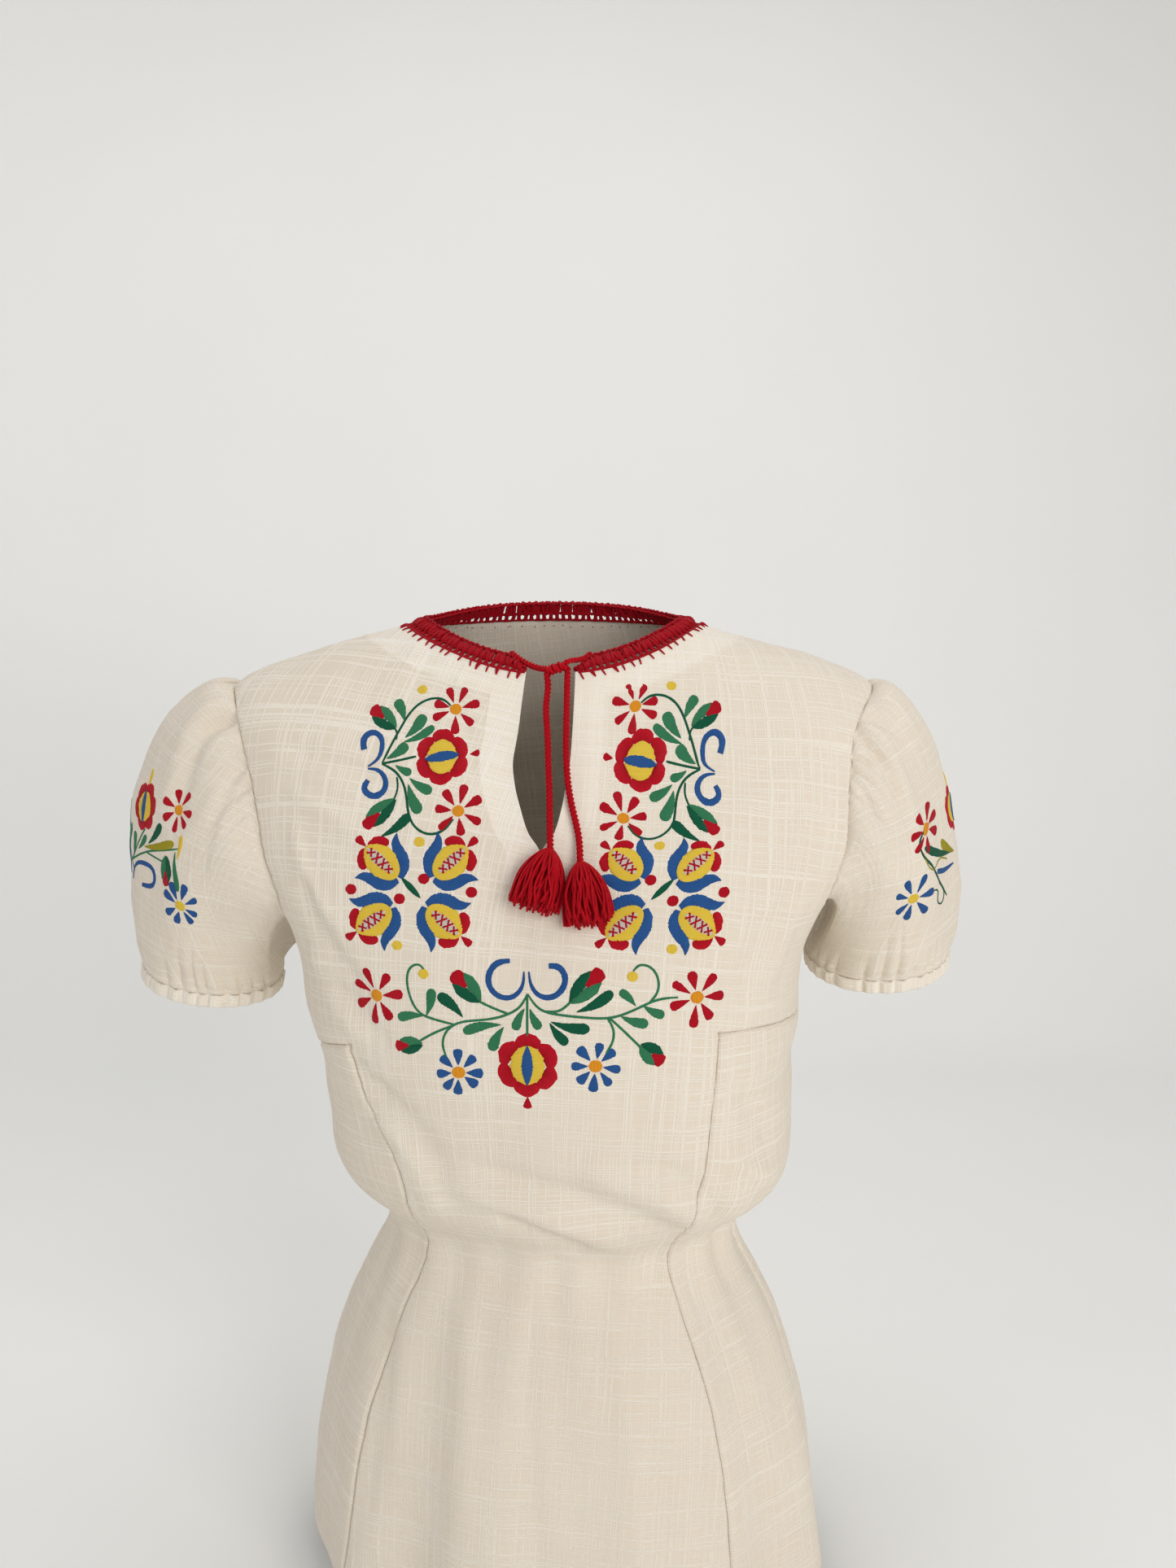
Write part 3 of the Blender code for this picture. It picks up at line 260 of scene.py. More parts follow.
princess = {  # level: angle on the left and on the right
    0.0: (45.0, 45.0), 2.0: (44.0, 44.0), 4.0: (38.0, 40.0), 5.5: (40.5, 43.0), 6.2: (41.5, 42.5),
    7.0: (35.0, 42.0), 7.7: (30.5, 40.0), 8.4: (33.0, 42.0), 9.0: (36.0, 44.0), 12.0: (42.0, 46.0),
}
slit = {  # level: angle of the left and of the right edge
    0.00: (-9.2, 8.6), 0.35: (-8.6, 6.9), 0.75: (-8.0, 5.4), 1.15: (-7.7, 4.2), 1.56: (-6.2, 3.0),
    1.90: (-4.6, 2.2), 2.25: (-3.0, 1.2), 2.60: (-0.8, -0.8),
}
signOf = {"left": -1.0, "right": 1.0}
sides = tuple(signOf)
shoulderRow = len(cut["shoulderEdges"]) - 1
underarmRow = shoulderRow + len(cut["armholeMiddles"])
bustRow = underarmRow + len(cut["sideMiddles"])
lastRow = bustRow + len(cut["lowerLevels"])
slitRow = len(slit) - 1


def armholeEdge(side, face):  # levels and angles down one edge, closer together at both ends
    share = np.linspace(0, 1, len(cut["armholeMiddles"]) + 1)
    values = armholeAt((len(armholes) - 1) * (share + cut["crowding"] * share * (1 - share) * (1 - 2 * share)))
    first = 0 if side == "left" else 3
    return values[:, first], np.radians(values[:, first + (1 if face == "front" else 2)])


def edgeRows(side, face):  # for every row: level at the middle, level and angle at the side edge
    level, angle = armholeEdge(side, face)
    middle = np.array(cut["shoulderMiddles"] + cut["armholeMiddles"] + cut["sideMiddles"] + cut["lowerLevels"])
    seamTo = cut["bustSeamEdge"][side]
    sideEdge = [(level[-1] + seamTo) / 2, seamTo]
    lower = [max(place, seamTo + cut["lowerStep"] * (row + 1)) for row, place in enumerate(cut["lowerLevels"])]
    edge = np.concatenate([cut["shoulderEdges"], level[1:], sideEdge, lower])
    edgeAngle = np.full(len(middle), math.pi / 2)
    edgeAngle[shoulderRow + 1:underarmRow + 1] = angle[1:]
    return middle, edge, edgeAngle


def tableColumn(table, side):
    return np.array(list(table)), np.array([pair[0 if side == "left" else 1] for pair in table.values()])


def frontHalf(side):  # levels and signed angles, from the slit's edge out to the side
    middle, edge, edgeAngle = edgeRows(side, "front")
    sign = signOf[side]
    inner, outer, faced = cut["middleColumns"], cut["outerColumns"], cut["facingColumns"]
    middleAngle = np.radians(np.interp(middle, *tableColumn(slit, side)))[:, None]
    seamLevel = middle + cut["seamShare"] * (edge - middle)
    seamLevel[bustRow] = cut["bustSeamInner"][side]
    seamAngle = sign * np.radians(naturalCurve(*tableColumn(princess, side))(seamLevel))[:, None]
    limit = sign * edgeAngle[:, None]
    nearLimit = cut["princessLimit"] * limit
    seamAngle = np.where(abs(seamAngle) > abs(nearLimit), nearLimit, seamAngle)
    near = middleAngle + sign * cut["facingWidth"] / perRadian(middle, middleAngle[:, 0])[:, None]
    outerShare = np.linspace(0, 1, outer + 1)[1:]
    angle = np.concatenate([
        middleAngle + (near - middleAngle) * np.linspace(0, 1, faced + 1)[:-1],
        near + (seamAngle - near) * np.linspace(0, 1, inner - faced + 1),
        seamAngle + (limit - seamAngle) * outerShare], axis=1)
    bow = np.linspace(0, 1, inner + 1) ** 2
    level = np.concatenate([
        middle[:, None] + (seamLevel - middle)[:, None] * bow,
        seamLevel[:, None] + (edge - seamLevel)[:, None] * outerShare], axis=1)
    return level, angle


def backHalf(side):  # levels and signed angles, from the middle of the back out to the side
    middle, edge, edgeAngle = edgeRows(side, "back")
    share = np.linspace(0, 1, cut["backColumns"] + 1)
    angle = signOf[side] * (math.pi + (edgeAngle[:, None] - math.pi) * share)
    return middle[:, None] + (edge - middle)[:, None] * share**2, angle


def rowsAt(values, at):
    # Cubic pieces whose slope at a row is the harmonic mean of the steps beside it, and 0 where they turn.
    steps = np.diff(values, axis=0)
    before, after = steps[:-1], steps[1:]
    total = np.where(before + after == 0, 1, before + after)
    slope = np.where(before * after > 0, 2 * before * after / total, 0)
    slope = np.concatenate([steps[:1], slope, steps[-1:]])
    i = np.clip(np.floor(at).astype(int), 0, len(values) - 2)
    f = (at - i).reshape((-1,) + (1,) * (values.ndim - 1))
    start, end = values[i], values[i + 1]
    mixed = (2 * f**3 - 3 * f**2 + 1) * start + (3 * f**2 - 2 * f**3) * end
    return mixed + (f**3 - 2 * f**2 + f) * slope[i] + (f**3 - f**2) * slope[i + 1]


def columnsAt(values, at):  # straight between columns
    i = np.clip(np.floor(at).astype(int), 0, values.shape[1] - 2)
    f = at - i
    return (1 - f) * values[:, i] + f * values[:, i + 1]


fineness = {"rowSplits": 7, "columnSplits": 5, "nearEdge": (0.03, 0.08, 0.16)}


def finePlaces(last, splits, edges):  # even places, with a few more close to the named edges
    near = np.array(fineness["nearEdge"])
    places = [np.arange(last * splits + 1) / splits]
    for edge in edges:
        places += [edge + near, edge - near]
    places = np.concatenate(places)
    return np.unique(np.round(places[(places >= 0) & (places <= last)], 4))


def fineHalf(half, columnEdges):
    level, angle = half
    rows = finePlaces(lastRow, fineness["rowSplits"], (0, 1, slitRow + 1, bustRow, lastRow))
    columns = finePlaces(level.shape[1] - 1, fineness["columnSplits"], columnEdges)
    return rows, columns, columnsAt(rowsAt(level, rows), columns), columnsAt(rowsAt(angle, rows), columns)


print("cut worked out")


# The finishes: how rough the sheen is, and how much detail the noises have.
finishes = {"sheenRoughness": 0.6, "detail": 3.0}


def nodeTree(name, roughness, sheen=0.0, specular=0.25):  # a new material, its shader and its node maker
    finish = bpy.data.materials.new(name)
    finish.use_nodes = True
    shader = finish.node_tree.nodes["Principled BSDF"]
    shader.inputs["Roughness"].default_value = roughness
    shader.inputs["Specular IOR Level"].default_value = specular
    shader.inputs["Sheen Weight"].default_value = sheen
    shader.inputs["Sheen Roughness"].default_value = finishes["sheenRoughness"]
    return finish, shader, Nodes(finish.node_tree)


class Nodes:
    # Short calls for building a material: each returns the socket that the next one takes.
    def __init__(self, tree):
        self.tree = tree

    def put(self, socket, value):  # a link from another socket, or a plain value
        if isinstance(value, bpy.types.NodeSocket):
            self.tree.links.new(value, socket)
        else:
            socket.default_value = value

    def add(self, kind, inputs=None, out=0, **settings):
        node = self.tree.nodes.new(kind)
        for name, value in settings.items():
            setattr(node, name, value)
        for name, value in (inputs or {}).items():
            self.put(node.inputs[name], value)
        return node.outputs[out]

    def math(self, operation, first, second=0.0, third=0.0):
        return self.add("ShaderNodeMath", {0: first, 1: second, 2: third}, operation=operation)

    def times(self, first, second):
        return self.math("MULTIPLY", first, second)

    def plus(self, first, second):
        return self.math("ADD", first, second)

    def minus(self, first, second):
        return self.math("SUBTRACT", first, second)

    def mix(self, share, first, second):
        mixed = self.tree.nodes.new("ShaderNodeMix")
        mixed.data_type = "RGBA"
        for name, value in (("Factor", share), ("A", first), ("B", second)):
            sockets = [s for s in mixed.inputs if s.name == name and (name == "Factor" or s.type == "RGBA")]
            self.put(sockets[0], value)
        return [s for s in mixed.outputs if s.type == "RGBA"][0]

    def ramp(self, value, low, high):  # 0 at low, 1 at high, straight between
        return self.add("ShaderNodeMapRange", {"Value": value, "From Min": low, "From Max": high})

    def noise(self, coordinates, scale=1.0, detail=2.0, roughness=0.5):
        return self.add("ShaderNodeTexNoise", {
            "Vector": coordinates, "Scale": scale, "Detail": detail, "Roughness": roughness})

    def numberNoise(self, number, kind, **inputs):  # noise of one number
        return self.add(kind, {"W": number, **inputs}, noise_dimensions="1D")

    def flatMap(self):  # the piece's own flat map in metres, and its two parts
        flat = self.add("ShaderNodeUVMap", uv_map="cloth")
        split = self.tree.nodes.new("ShaderNodeSeparateXYZ")
        self.tree.links.new(flat, split.inputs[0])
        return flat, split.outputs["X"], split.outputs["Y"]

    def finish(self, shader, colour, height, distance, strength):  # colour and relief into the shader
        self.tree.links.new(colour, shader.inputs["Base Color"])
        relief = self.add("ShaderNodeBump", {"Height": height, "Distance": distance, "Strength": strength})
        self.tree.links.new(relief, shader.inputs["Normal"])


slub = {
    "ground": (0.745, 0.668, 0.556, 1), "thick": (0.89, 0.835, 0.735, 1), "thin": (0.660, 0.575, 0.462, 1),
    "doubled": (0.835, 0.770, 0.660, 1), "doubledThick": (0.91, 0.87, 0.79, 1), "roughness": 0.86, "sheen": 0.10,
    "threads": 1150.0, "length": 0.072, "pitch": 0.00064, "relief": 0.00016, "reliefStrength": 0.8,
    "thickFrom": 0.572, "thickTo": 0.630, "thinFrom": 0.46, "thinTo": 0.36, "detail": 2.0, "detailRoughness": 0.45,
    "edgeDrop": 0.75, "edgePower": 3.0, "ownShift": 17.3, "ownShare": 0.34, "groupPitch": 55.0, "groupShare": 0.22,
    "thickShare": 0.80, "thinShare": 0.34, "wander": 0.0040, "wanderScale": 30.0, "wanderAcross": 0.6,
    "patchScale": 11.0, "patchFrom": 0.35, "patchTo": 0.75, "patchShare": 0.14,
    "weaveFrom": 0.2, "weaveTo": -0.8, "weaveGapShade": 0.18, "weaveRelief": 0.18, "seeds": (3.0, 71.0),
}


def slubThreads(make, along, over, seed):
    # Threads side by side, each with its own number: a slow noise along it says where it is thick or thin,
    # and a round profile keeps its edges crisp.
    cell = make.math("DIVIDE", over, slub["pitch"])
    number = make.math("FLOOR", cell)
    fromMiddle = make.math("ABSOLUTE", make.minus(make.times(make.math("FRACT", cell), 2.0), 1.0))
    profile = make.minus(1.0, make.times(make.math("POWER", fromMiddle, slub["edgePower"]), slub["edgeDrop"]))
    spot = make.add("ShaderNodeCombineXYZ", {
        "X": make.math("DIVIDE", along, slub["length"]), "Y": make.times(number, slub["ownShift"]), "Z": seed})
    own = make.numberNoise(make.plus(number, seed), "ShaderNodeTexWhiteNoise")
    groupAt = make.math("MULTIPLY_ADD", over, slub["groupPitch"], seed)
    group = make.numberNoise(groupAt, "ShaderNodeTexNoise", Scale=1.0)
    amount = make.noise(spot, 1.0, slub["detail"], slub["detailRoughness"])
    amount = make.math("MULTIPLY_ADD", make.minus(own, 0.5), slub["ownShare"], amount)
    amount = make.math("MULTIPLY_ADD", make.minus(group, 0.5), slub["groupShare"], amount)
    thick = make.times(make.ramp(amount, slub["thickFrom"], slub["thickTo"]), profile)
    return thick, make.ramp(amount, slub["thinFrom"], slub["thinTo"])


def clothFinish(name, doubledAll=False):
    # Two crossed sets of long uneven threads on the cloth's own flat map, in metres, over a fine plain weave.
    finish, shader, make = nodeTree(name, slub["roughness"], slub["sheen"])
    flat, right, up = make.flatMap()
    drift = make.times(make.minus(make.noise(flat, slub["wanderScale"]), 0.5), slub["wander"])
    across, down = make.plus(right, make.times(drift, slub["wanderAcross"])), make.plus(up, drift)
    warpThick, warpThin = slubThreads(make, down, across, slub["seeds"][0])
    weftThick, weftThin = slubThreads(make, across, down, slub["seeds"][1])
    doubled = 1.0 if doubledAll else make.add("ShaderNodeAttribute", out="Fac", attribute_name="doubled")
    ground = make.mix(doubled, slub["ground"], slub["doubled"])
    bright = make.mix(doubled, slub["thick"], slub["doubledThick"])
    thin = make.times(make.plus(warpThin, weftThin), 0.5)
    patchy = make.ramp(make.noise(flat, slub["patchScale"], finishes["detail"]), slub["patchFrom"], slub["patchTo"])
    thread, turn = make.math("MAXIMUM", warpThick, weftThick), slub["threads"] * math.pi
    weave = make.times(make.math("SINE", make.times(right, turn)), make.math("SINE", make.times(up, turn)))
    between = make.ramp(weave, slub["weaveFrom"], slub["weaveTo"])
    colour = make.mix(make.times(thin, slub["thinShare"]), ground, slub["thin"])
    colour = make.mix(make.times(patchy, slub["patchShare"]), colour, bright)
    colour = make.mix(make.times(thread, slub["thickShare"]), colour, bright)
    # painted shade: the low cells of the fine weave are darkened towards the thin threads' colour
    colour = make.mix(make.times(between, slub["weaveGapShade"]), colour, slub["thin"])
    height = make.plus(make.times(weave, slub["weaveRelief"]), make.plus(warpThick, weftThick))
    make.finish(shader, colour, height, slub["relief"], slub["reliefStrength"])
    return finish


slubCloth = clothFinish("slubbedCloth")
doubledCloth = clothFinish("doubledCloth", True)
print("cloth finish made")

threads = {  # colour, painted shade colour for the grooves between the threads, roughness, sheen
    "tieRed": ((0.78, 0.003, 0.016, 1), (0.33, 0.0010, 0.006, 1), 0.60, 0.0),
    "crochetRed": ((0.57, 0.003, 0.015, 1), (0.14, 0.0008, 0.004, 1), 0.55, 0.0),
    "red": ((0.62, 0.003, 0.018, 1), (0.22, 0.0008, 0.005, 1), 0.55, 0.0),
    "blue": ((0.030, 0.130, 0.40, 1), (0.006, 0.036, 0.14, 1), 0.55, 0.0),
    "yellow": ((1.00, 0.71, 0.080, 1), (0.80, 0.46, 0.030, 1), 0.55, 0.0),
    "orange": ((1.00, 0.40, 0.022, 1), (0.70, 0.19, 0.01, 1), 0.55, 0.0),
    "green": ((0.004, 0.135, 0.065, 1), (0.001, 0.040, 0.018, 1), 0.55, 0.0),
    "lightGreen": ((0.050, 0.27, 0.125, 1), (0.010, 0.10, 0.040, 1), 0.55, 0.0),
    "olive": ((0.48, 0.41, 0.014, 1), (0.24, 0.18, 0.005, 1), 0.55, 0.0),
    "white": ((0.80, 0.76, 0.68, 1), (0.55, 0.50, 0.40, 1), 0.60, 0.05),
}
# The numbers for the lines between the threads set their painted shade; the lighter drift along the thread is partly
# the thread's own tone and partly painted highlight.
threadLook = {
    "pitch": 0.00058, "tieSlant": 0.9, "specular": 0.15, "relief": 0.00020, "reliefStrength": 0.9,
    "wanderScale": 900.0, "wander": 2.2, "grooveShadeFrom": 0.25, "grooveShadeTo": -1.0, "grooveShadeShare": 0.75,
    "driftScale": 260.0, "driftFrom": 0.3, "driftTo": 0.75, "driftShare": 0.45, "toneAndHighlight": 1.25, "toneAndHighlightMore": 0.004,
}


def threadFinish(name):
    # Fine lines across the run of the flat map, leaned on the tie, with painted shade in the grooves between the
    # threads; lighter patches drift slowly along the thread, partly its own uneven tone and partly painted highlight
    # of its sheen.
    colour, paintedGrooveShade, roughness, sheen = threads[name]
    finish, shader, make = nodeTree(name + "Thread", roughness, sheen, threadLook["specular"])
    flat, along, across = make.flatMap()
    perMetre = 2 * math.pi / threadLook["pitch"]
    slant = threadLook["tieSlant"] if name == "tieRed" else 0.0
    turns = make.plus(make.times(along, perMetre), make.times(across, slant * perMetre))
    wander = make.times(make.noise(flat, threadLook["wanderScale"]), threadLook["wander"])
    wave = make.math("SINE", make.plus(turns, wander))
    # painted shade: where the thread relief is low, between the threads
    between = make.ramp(wave, threadLook["grooveShadeFrom"], threadLook["grooveShadeTo"])
    drift = make.noise(flat, threadLook["driftScale"], finishes["detail"])
    drift = make.ramp(drift, threadLook["driftFrom"], threadLook["driftTo"])
    # the lighter colour of the drift: partly the thread's uneven tone, partly painted highlight of its sheen
    toneAndHighlight = tuple(min(1.0, threadLook["toneAndHighlight"] * value + threadLook["toneAndHighlightMore"]) for value in colour[:3])
    shade = make.mix(make.times(drift, threadLook["driftShare"]), colour, (*toneAndHighlight, 1))
    # painted shade laid in the grooves between the threads
    shade = make.mix(make.times(between, threadLook["grooveShadeShare"]), shade, paintedGrooveShade)
    make.finish(shader, shade, wave, threadLook["relief"], threadLook["reliefStrength"])
    return finish


thread = {name: threadFinish(name) for name in threads}
print("thread finishes made")

# The neckline's edge, where the crochet stands and the tie comes out.
edging = {
    "width": 0.0115, "endWidth": 0.0030, "taper": 0.014, "gap": 0.0003, "splits": 3,
    "riseFront": 44.0, "riseSide": 22.0, "riseBack": 66.0, "clothWall": 0.0012,
}


def chordPoints(corners):  # each stretch between two corners cut into equal parts
    share = (np.arange(edging["splits"]) / edging["splits"])[None, :, None]
    parts = corners[:-1, None] + (corners[1:, None] - corners[:-1, None]) * share
    return np.concatenate([parts.reshape(-1, corners.shape[1]), corners[-1:]])


def neckCorners():  # level and angle of the cut's corners, from the slit's left edge round to its right edge
    (leftFront, leftBack), (rightFront, rightBack) = [
        [np.stack([values[0] for values in half(side)], -1) for half in (frontHalf, backHalf)] for side in sides]
    past = np.array([0, 2 * math.pi])
    return np.concatenate([leftFront, leftBack[::-1][1:], rightBack[1:] - past, rightFront[::-1][1:] - past])


def edgingLines():
    # Foot, head and directions of the edging: it leaves the edge of the cloth leaning in and up.
    corners = neckCorners()
    levels, angles = corners.T
    edge = body(levels, angles)
    normal = unit(chordPoints(normalOf(body, levels, angles)))
    out = unit(chordPoints(unit(body(levels - tiny, angles) - edge)))
    edge = chordPoints(edge)
    angles = chordPoints(corners)[:, 1]
    run = runAlong(edge)
    fromEnd = np.minimum(run, run[-1] - run)
    width = edging["endWidth"] + (edging["width"] - edging["endWidth"]) * smooth(fromEnd / edging["taper"])
    ends = np.where(np.cos(angles) > 0, edging["riseFront"], edging["riseBack"])
    rise = np.radians(ends * np.cos(angles) ** 2 + edging["riseSide"] * np.sin(angles) ** 2)
    inward = np.stack([-np.sin(angles), np.cos(angles), np.zeros(len(angles))], -1)
    lean = np.cos(rise)[:, None] * inward + np.sin(rise)[:, None] * np.array([0, 0, 1])
    across = unit(np.cross(np.gradient(edge, axis=0), lean))
    across = np.where((across * normal).sum(axis=1, keepdims=True) < 0, -across, across)
    foot = edge + edging["gap"] * out - edging["clothWall"] / 2 * normal
    return {"foot": foot, "lean": lean, "across": across, "width": width, "run": run, "angle": angles}


neck = edgingLines()
neckLength = neck["run"][-1]


def alongNeck(run, *names):  # the edging's lines at any run
    found = []
    for name in names:
        values = neck[name].reshape(len(neck["run"]), -1)
        at = np.stack([np.interp(run, neck["run"], column) for column in values.T], -1)
        found.append(at[..., 0] if values.shape[1] == 1 else at)
    return found


# Lines and tubes.
def evenPoints(points, count):  # a line cut again at even runs
    run = runAlong(points)
    at = np.linspace(0, run[-1], count)
    return np.stack([np.interp(at, run, column) for column in points.T], -1)


def lineThrough(points, spacing):
    # A natural cubic through given points, by chord length, at even spacing along its own length.
    points = np.asarray(points, float)
    run = runAlong(points)
    curve = naturalCurve(run, points)(np.linspace(0, run[-1], 60 * len(points)))
    return evenPoints(curve, max(3, int(round(runAlong(curve)[-1] / spacing)) + 1))


def tubeGrid(path, radius, sides=6, up=(0.0, -1.0, 0.0), shape=1.0):
    # Rings round a path, each turned as little as it can from the one before. radius is a number or one for
    # each point, and shape is a factor for each corner.
    tangent = unit(np.gradient(path, axis=0))
    first = np.zeros_like(path)
    guide = np.asarray(up, float)
    for i, way in enumerate(tangent):
        guide = guide - (guide @ way) * way
        guide = guide / np.linalg.norm(guide)
        first[i] = guide
    second = np.cross(tangent, first)
    turn = 2 * math.pi * np.arange(sides) / sides
    size = np.broadcast_to(np.asarray(radius, float), (len(path),))[:, None] * (np.ones(sides) * shape)
    ring = np.cos(turn)[:, None] * first[:, None] + np.sin(turn)[:, None] * second[:, None]
    return path[:, None] + size[..., None] * ring


class Batch:
    # Collects closed tubes into one mesh: quads, end caps, and a flat map of run and turn in metres.
    def __init__(self):
        self.points, self.quads, self.triangles, self.uv, self.capUv, self.count = [], [], [], [], [], 0

    def tube(self, grid):  # rings of points that turn so that the faces point outwards, with a fan on each end
        rows, columns = grid.shape[:2]
        around = np.arange(columns)
        after = (around + 1) % columns
        start = np.full(columns, self.count + rows * columns)
        first, last = self.count, self.count + (rows - 1) * columns
        run = runAlong(grid.mean(axis=1))
        girth = np.linalg.norm(grid[:, 1] - grid[:, 0], axis=-1).mean()
        r, c = [values.ravel() for values in np.meshgrid(np.arange(rows - 1), around, indexing="ij")]
        corners = [(run[r], c + 1), (run[r + 1], c + 1), (run[r + 1], c), (run[r], c)]
        self.points += [grid.reshape(-1, 3), grid[0].mean(axis=0)[None], grid[-1].mean(axis=0)[None]]
        self.quads.append(quadsOf(rows, columns, True)[:, ::-1] + first)
        self.triangles += [np.stack([start, first + after, first + around], -1),
                           np.stack([start + 1, last + around, last + after], -1)]
        flat = np.stack([np.stack([along, girth * place], -1) for along, place in corners], 1)
        self.uv.append(flat.reshape(-1, 2))
        self.capUv.append(np.full((2 * columns * 3, 2), 0.001))
        self.count += rows * columns + 2

    def piece(self, name, finish, **words):
        points, quads, triangles, uv = [
            np.concatenate(parts) for parts in (self.points, self.quads, self.triangles, self.uv + self.capUv)]
        return newPiece(name, points, quads, finish, triangles=triangles, uv=uv, **words)


# The tie: two cords that cross in one half knot over the top of the slit.
tie = {
    "radius": 0.00182, "spacing": 0.0005, "strands": 3, "strandDepth": 0.50, "strandSwell": 1.25,
    "twistPitch": 0.0076, "sides": 24, "spanRuns": (0.0130, 0.0085), "spanEase": 6.0,
    "spanLift": {"left": 0.0035, "right": 0.0033}, "spanRadius": {"left": 1.0, "right": 0.84},
    "knotMiddle": (0.0030, -0.0610, -0.0282), "knotTilt": 17.0, "knotLength": 0.0118, "knotRadius": 0.00150,
    "knotTurns": 1.5, "knotPoints": 13, "diameter": 0.0034,
}
endRoutes = {  # the hanging ends, from just under the knot to the top of the tassel
    "left": ((-0.0021, -0.0622, -0.0338), (-0.0024, -0.0690, -0.0480), (-0.0016, -0.0785, -0.0640),
             (-0.0008, -0.0870, -0.0800), (0.0000, -0.0955, -0.0975), (0.0004, -0.1020, -0.1120)),
    "right": ((0.0097, -0.0622, -0.0315), (0.0094, -0.0705, -0.0480), (0.0092, -0.0790, -0.0640),
              (0.0094, -0.0875, -0.0800), (0.0106, -0.0945, -0.0940), (0.0134, -0.1005, -0.1080),
              (0.0164, -0.1060, -0.1210)),
}
tassels = {  # middle of the head, the way that the threads hang, spread, and the seed of their draws
    "left": ((-0.0004, -0.1118, -0.1315), (-0.30, -0.20, -0.95), 0.0152, 5),
    "right": ((0.0180, -0.1140, -0.1385), (0.16, -0.17, -0.97), 0.0145, 8),
}
tasselTop = 0.0046  # from the middle of the head up to where the cord ends, inside it
opposite = {"left": "right", "right": "left"}


def knotLine(side):
    # Each cord is a helix round the knot's leaning axis: it comes in on top and goes out underneath.
    tilt = math.radians(tie["knotTilt"])
    along = np.array([math.cos(tilt), 0, math.sin(tilt)])
    up = np.array([-math.sin(tilt), 0, math.cos(tilt)])
    share = np.linspace(0, 1, tie["knotPoints"])
    turn = 2 * math.pi * tie["knotTurns"] * share
    run = signOf[opposite[side]] * (share - 0.5) * tie["knotLength"]
    front = signOf[opposite[side]] * np.array([0, -1.0, 0])
    helix = np.cos(turn)[:, None] * up + np.sin(turn)[:, None] * front
    return np.array(tie["knotMiddle"]) + run[:, None] * along + tie["knotRadius"] * helix


def spanPoints(side):  # out of the top of the edging and across to the knot
    runs = np.array(tie["spanRuns"])
    foot, lean, width = alongNeck(runs if side == "left" else neckLength - runs, "foot", "lean", "width")
    return foot + (width[:, None] + tie["spanLift"][side]) * lean


def cordGrid(path, radius):
    # The section of a laid cord: round strands side by side, turning along it.
    turn = 2 * math.pi * np.arange(tie["sides"]) / tie["sides"]
    phase = tie["strands"] * (turn[None, :] - 2 * math.pi * runAlong(path)[:, None] / tie["twistPitch"])
    strand = tie["strandSwell"] * abs(np.cos(0.5 * phase))
    return tubeGrid(path, radius, tie["sides"], shape=1 - tie["strandDepth"] + tie["strandDepth"] * strand)


def buildTie():
    ends = {}
    knot = Batch()
    for side in sides:
        far = opposite[side]
        middle, way = tassels[far][:2]
        top = np.array(middle) - tasselTop * unit(np.array(way))
        before = np.concatenate([spanPoints(side), knotLine(side)])
        path = lineThrough(np.concatenate([before, np.array(endRoutes[far]), top[None]]), tie["spacing"])
        split = np.argmin(np.linalg.norm(path - np.array(endRoutes[far][0]), axis=1))
        spanEnd = np.argmin(np.linalg.norm(path - before[2], axis=1))
        thin = tie["spanRadius"][side]
        ease = smooth((np.arange(len(path)) - spanEnd) / tie["spanEase"])
        grid = cordGrid(path, tie["radius"] * (thin + (1 - thin) * ease))
        knot.tube(grid[:split + 1])
        end = Batch()
        end.tube(grid[split:])
        piece = end.piece("tieEnd" + far.title(), thread["tieRed"], slot="red_thread",
                          replaces=("tie_end_" + far,))
        ends[far] = piece, path[split:]
    knot.piece("tieKnot", thread["tieRed"], slot="red_thread",
               replaces=("tie_span_left", "tie_span_right", "tie_knot"))
    return ends


tieEnds = buildTie()
print("tie made")
# The cloth: a thin shell whose outer face lies on the CAD wall's outer face, drawn in along the seams.
cloth = {
    "thickness": 0.0007, "seamDepth": 0.0016, "seamWidth": 0.0010, "hemRoll": 0.0005, "hemWidth": 0.0022,
    "facingRidge": 0.00030, "facingLift": 0.00020, "facingGap": 0.0002, "facingThickness": 0.0006,
    "facingEdge": 0.22, "pucker": 0.0004, "puckerReach": 0.007, "puckerNear": 0.001, "puckerPitch": 0.0085,
    "puckerWander": (2.2, 0.37), "puckerRise": 0.3, "crumple": 0.0005, "backShare": 1.6, "sideBlend": 0.03,
    "creaseSides": (1.6, 0.8), "creaseFade": (4.0, 0.5), "creaseOpen": (0.8, 0.5), "linePoints": 40,
}
swells = (  # share, then two waves: how fast they turn along x, y and z, and their shift
    (1.4, (61, 11, 37, 0.4), (-29, 0, 43, 1.3)), (0.6, (71, 0, 113, 2.1), (97, 17, -83, 0.2)),
)
mm = 0.001
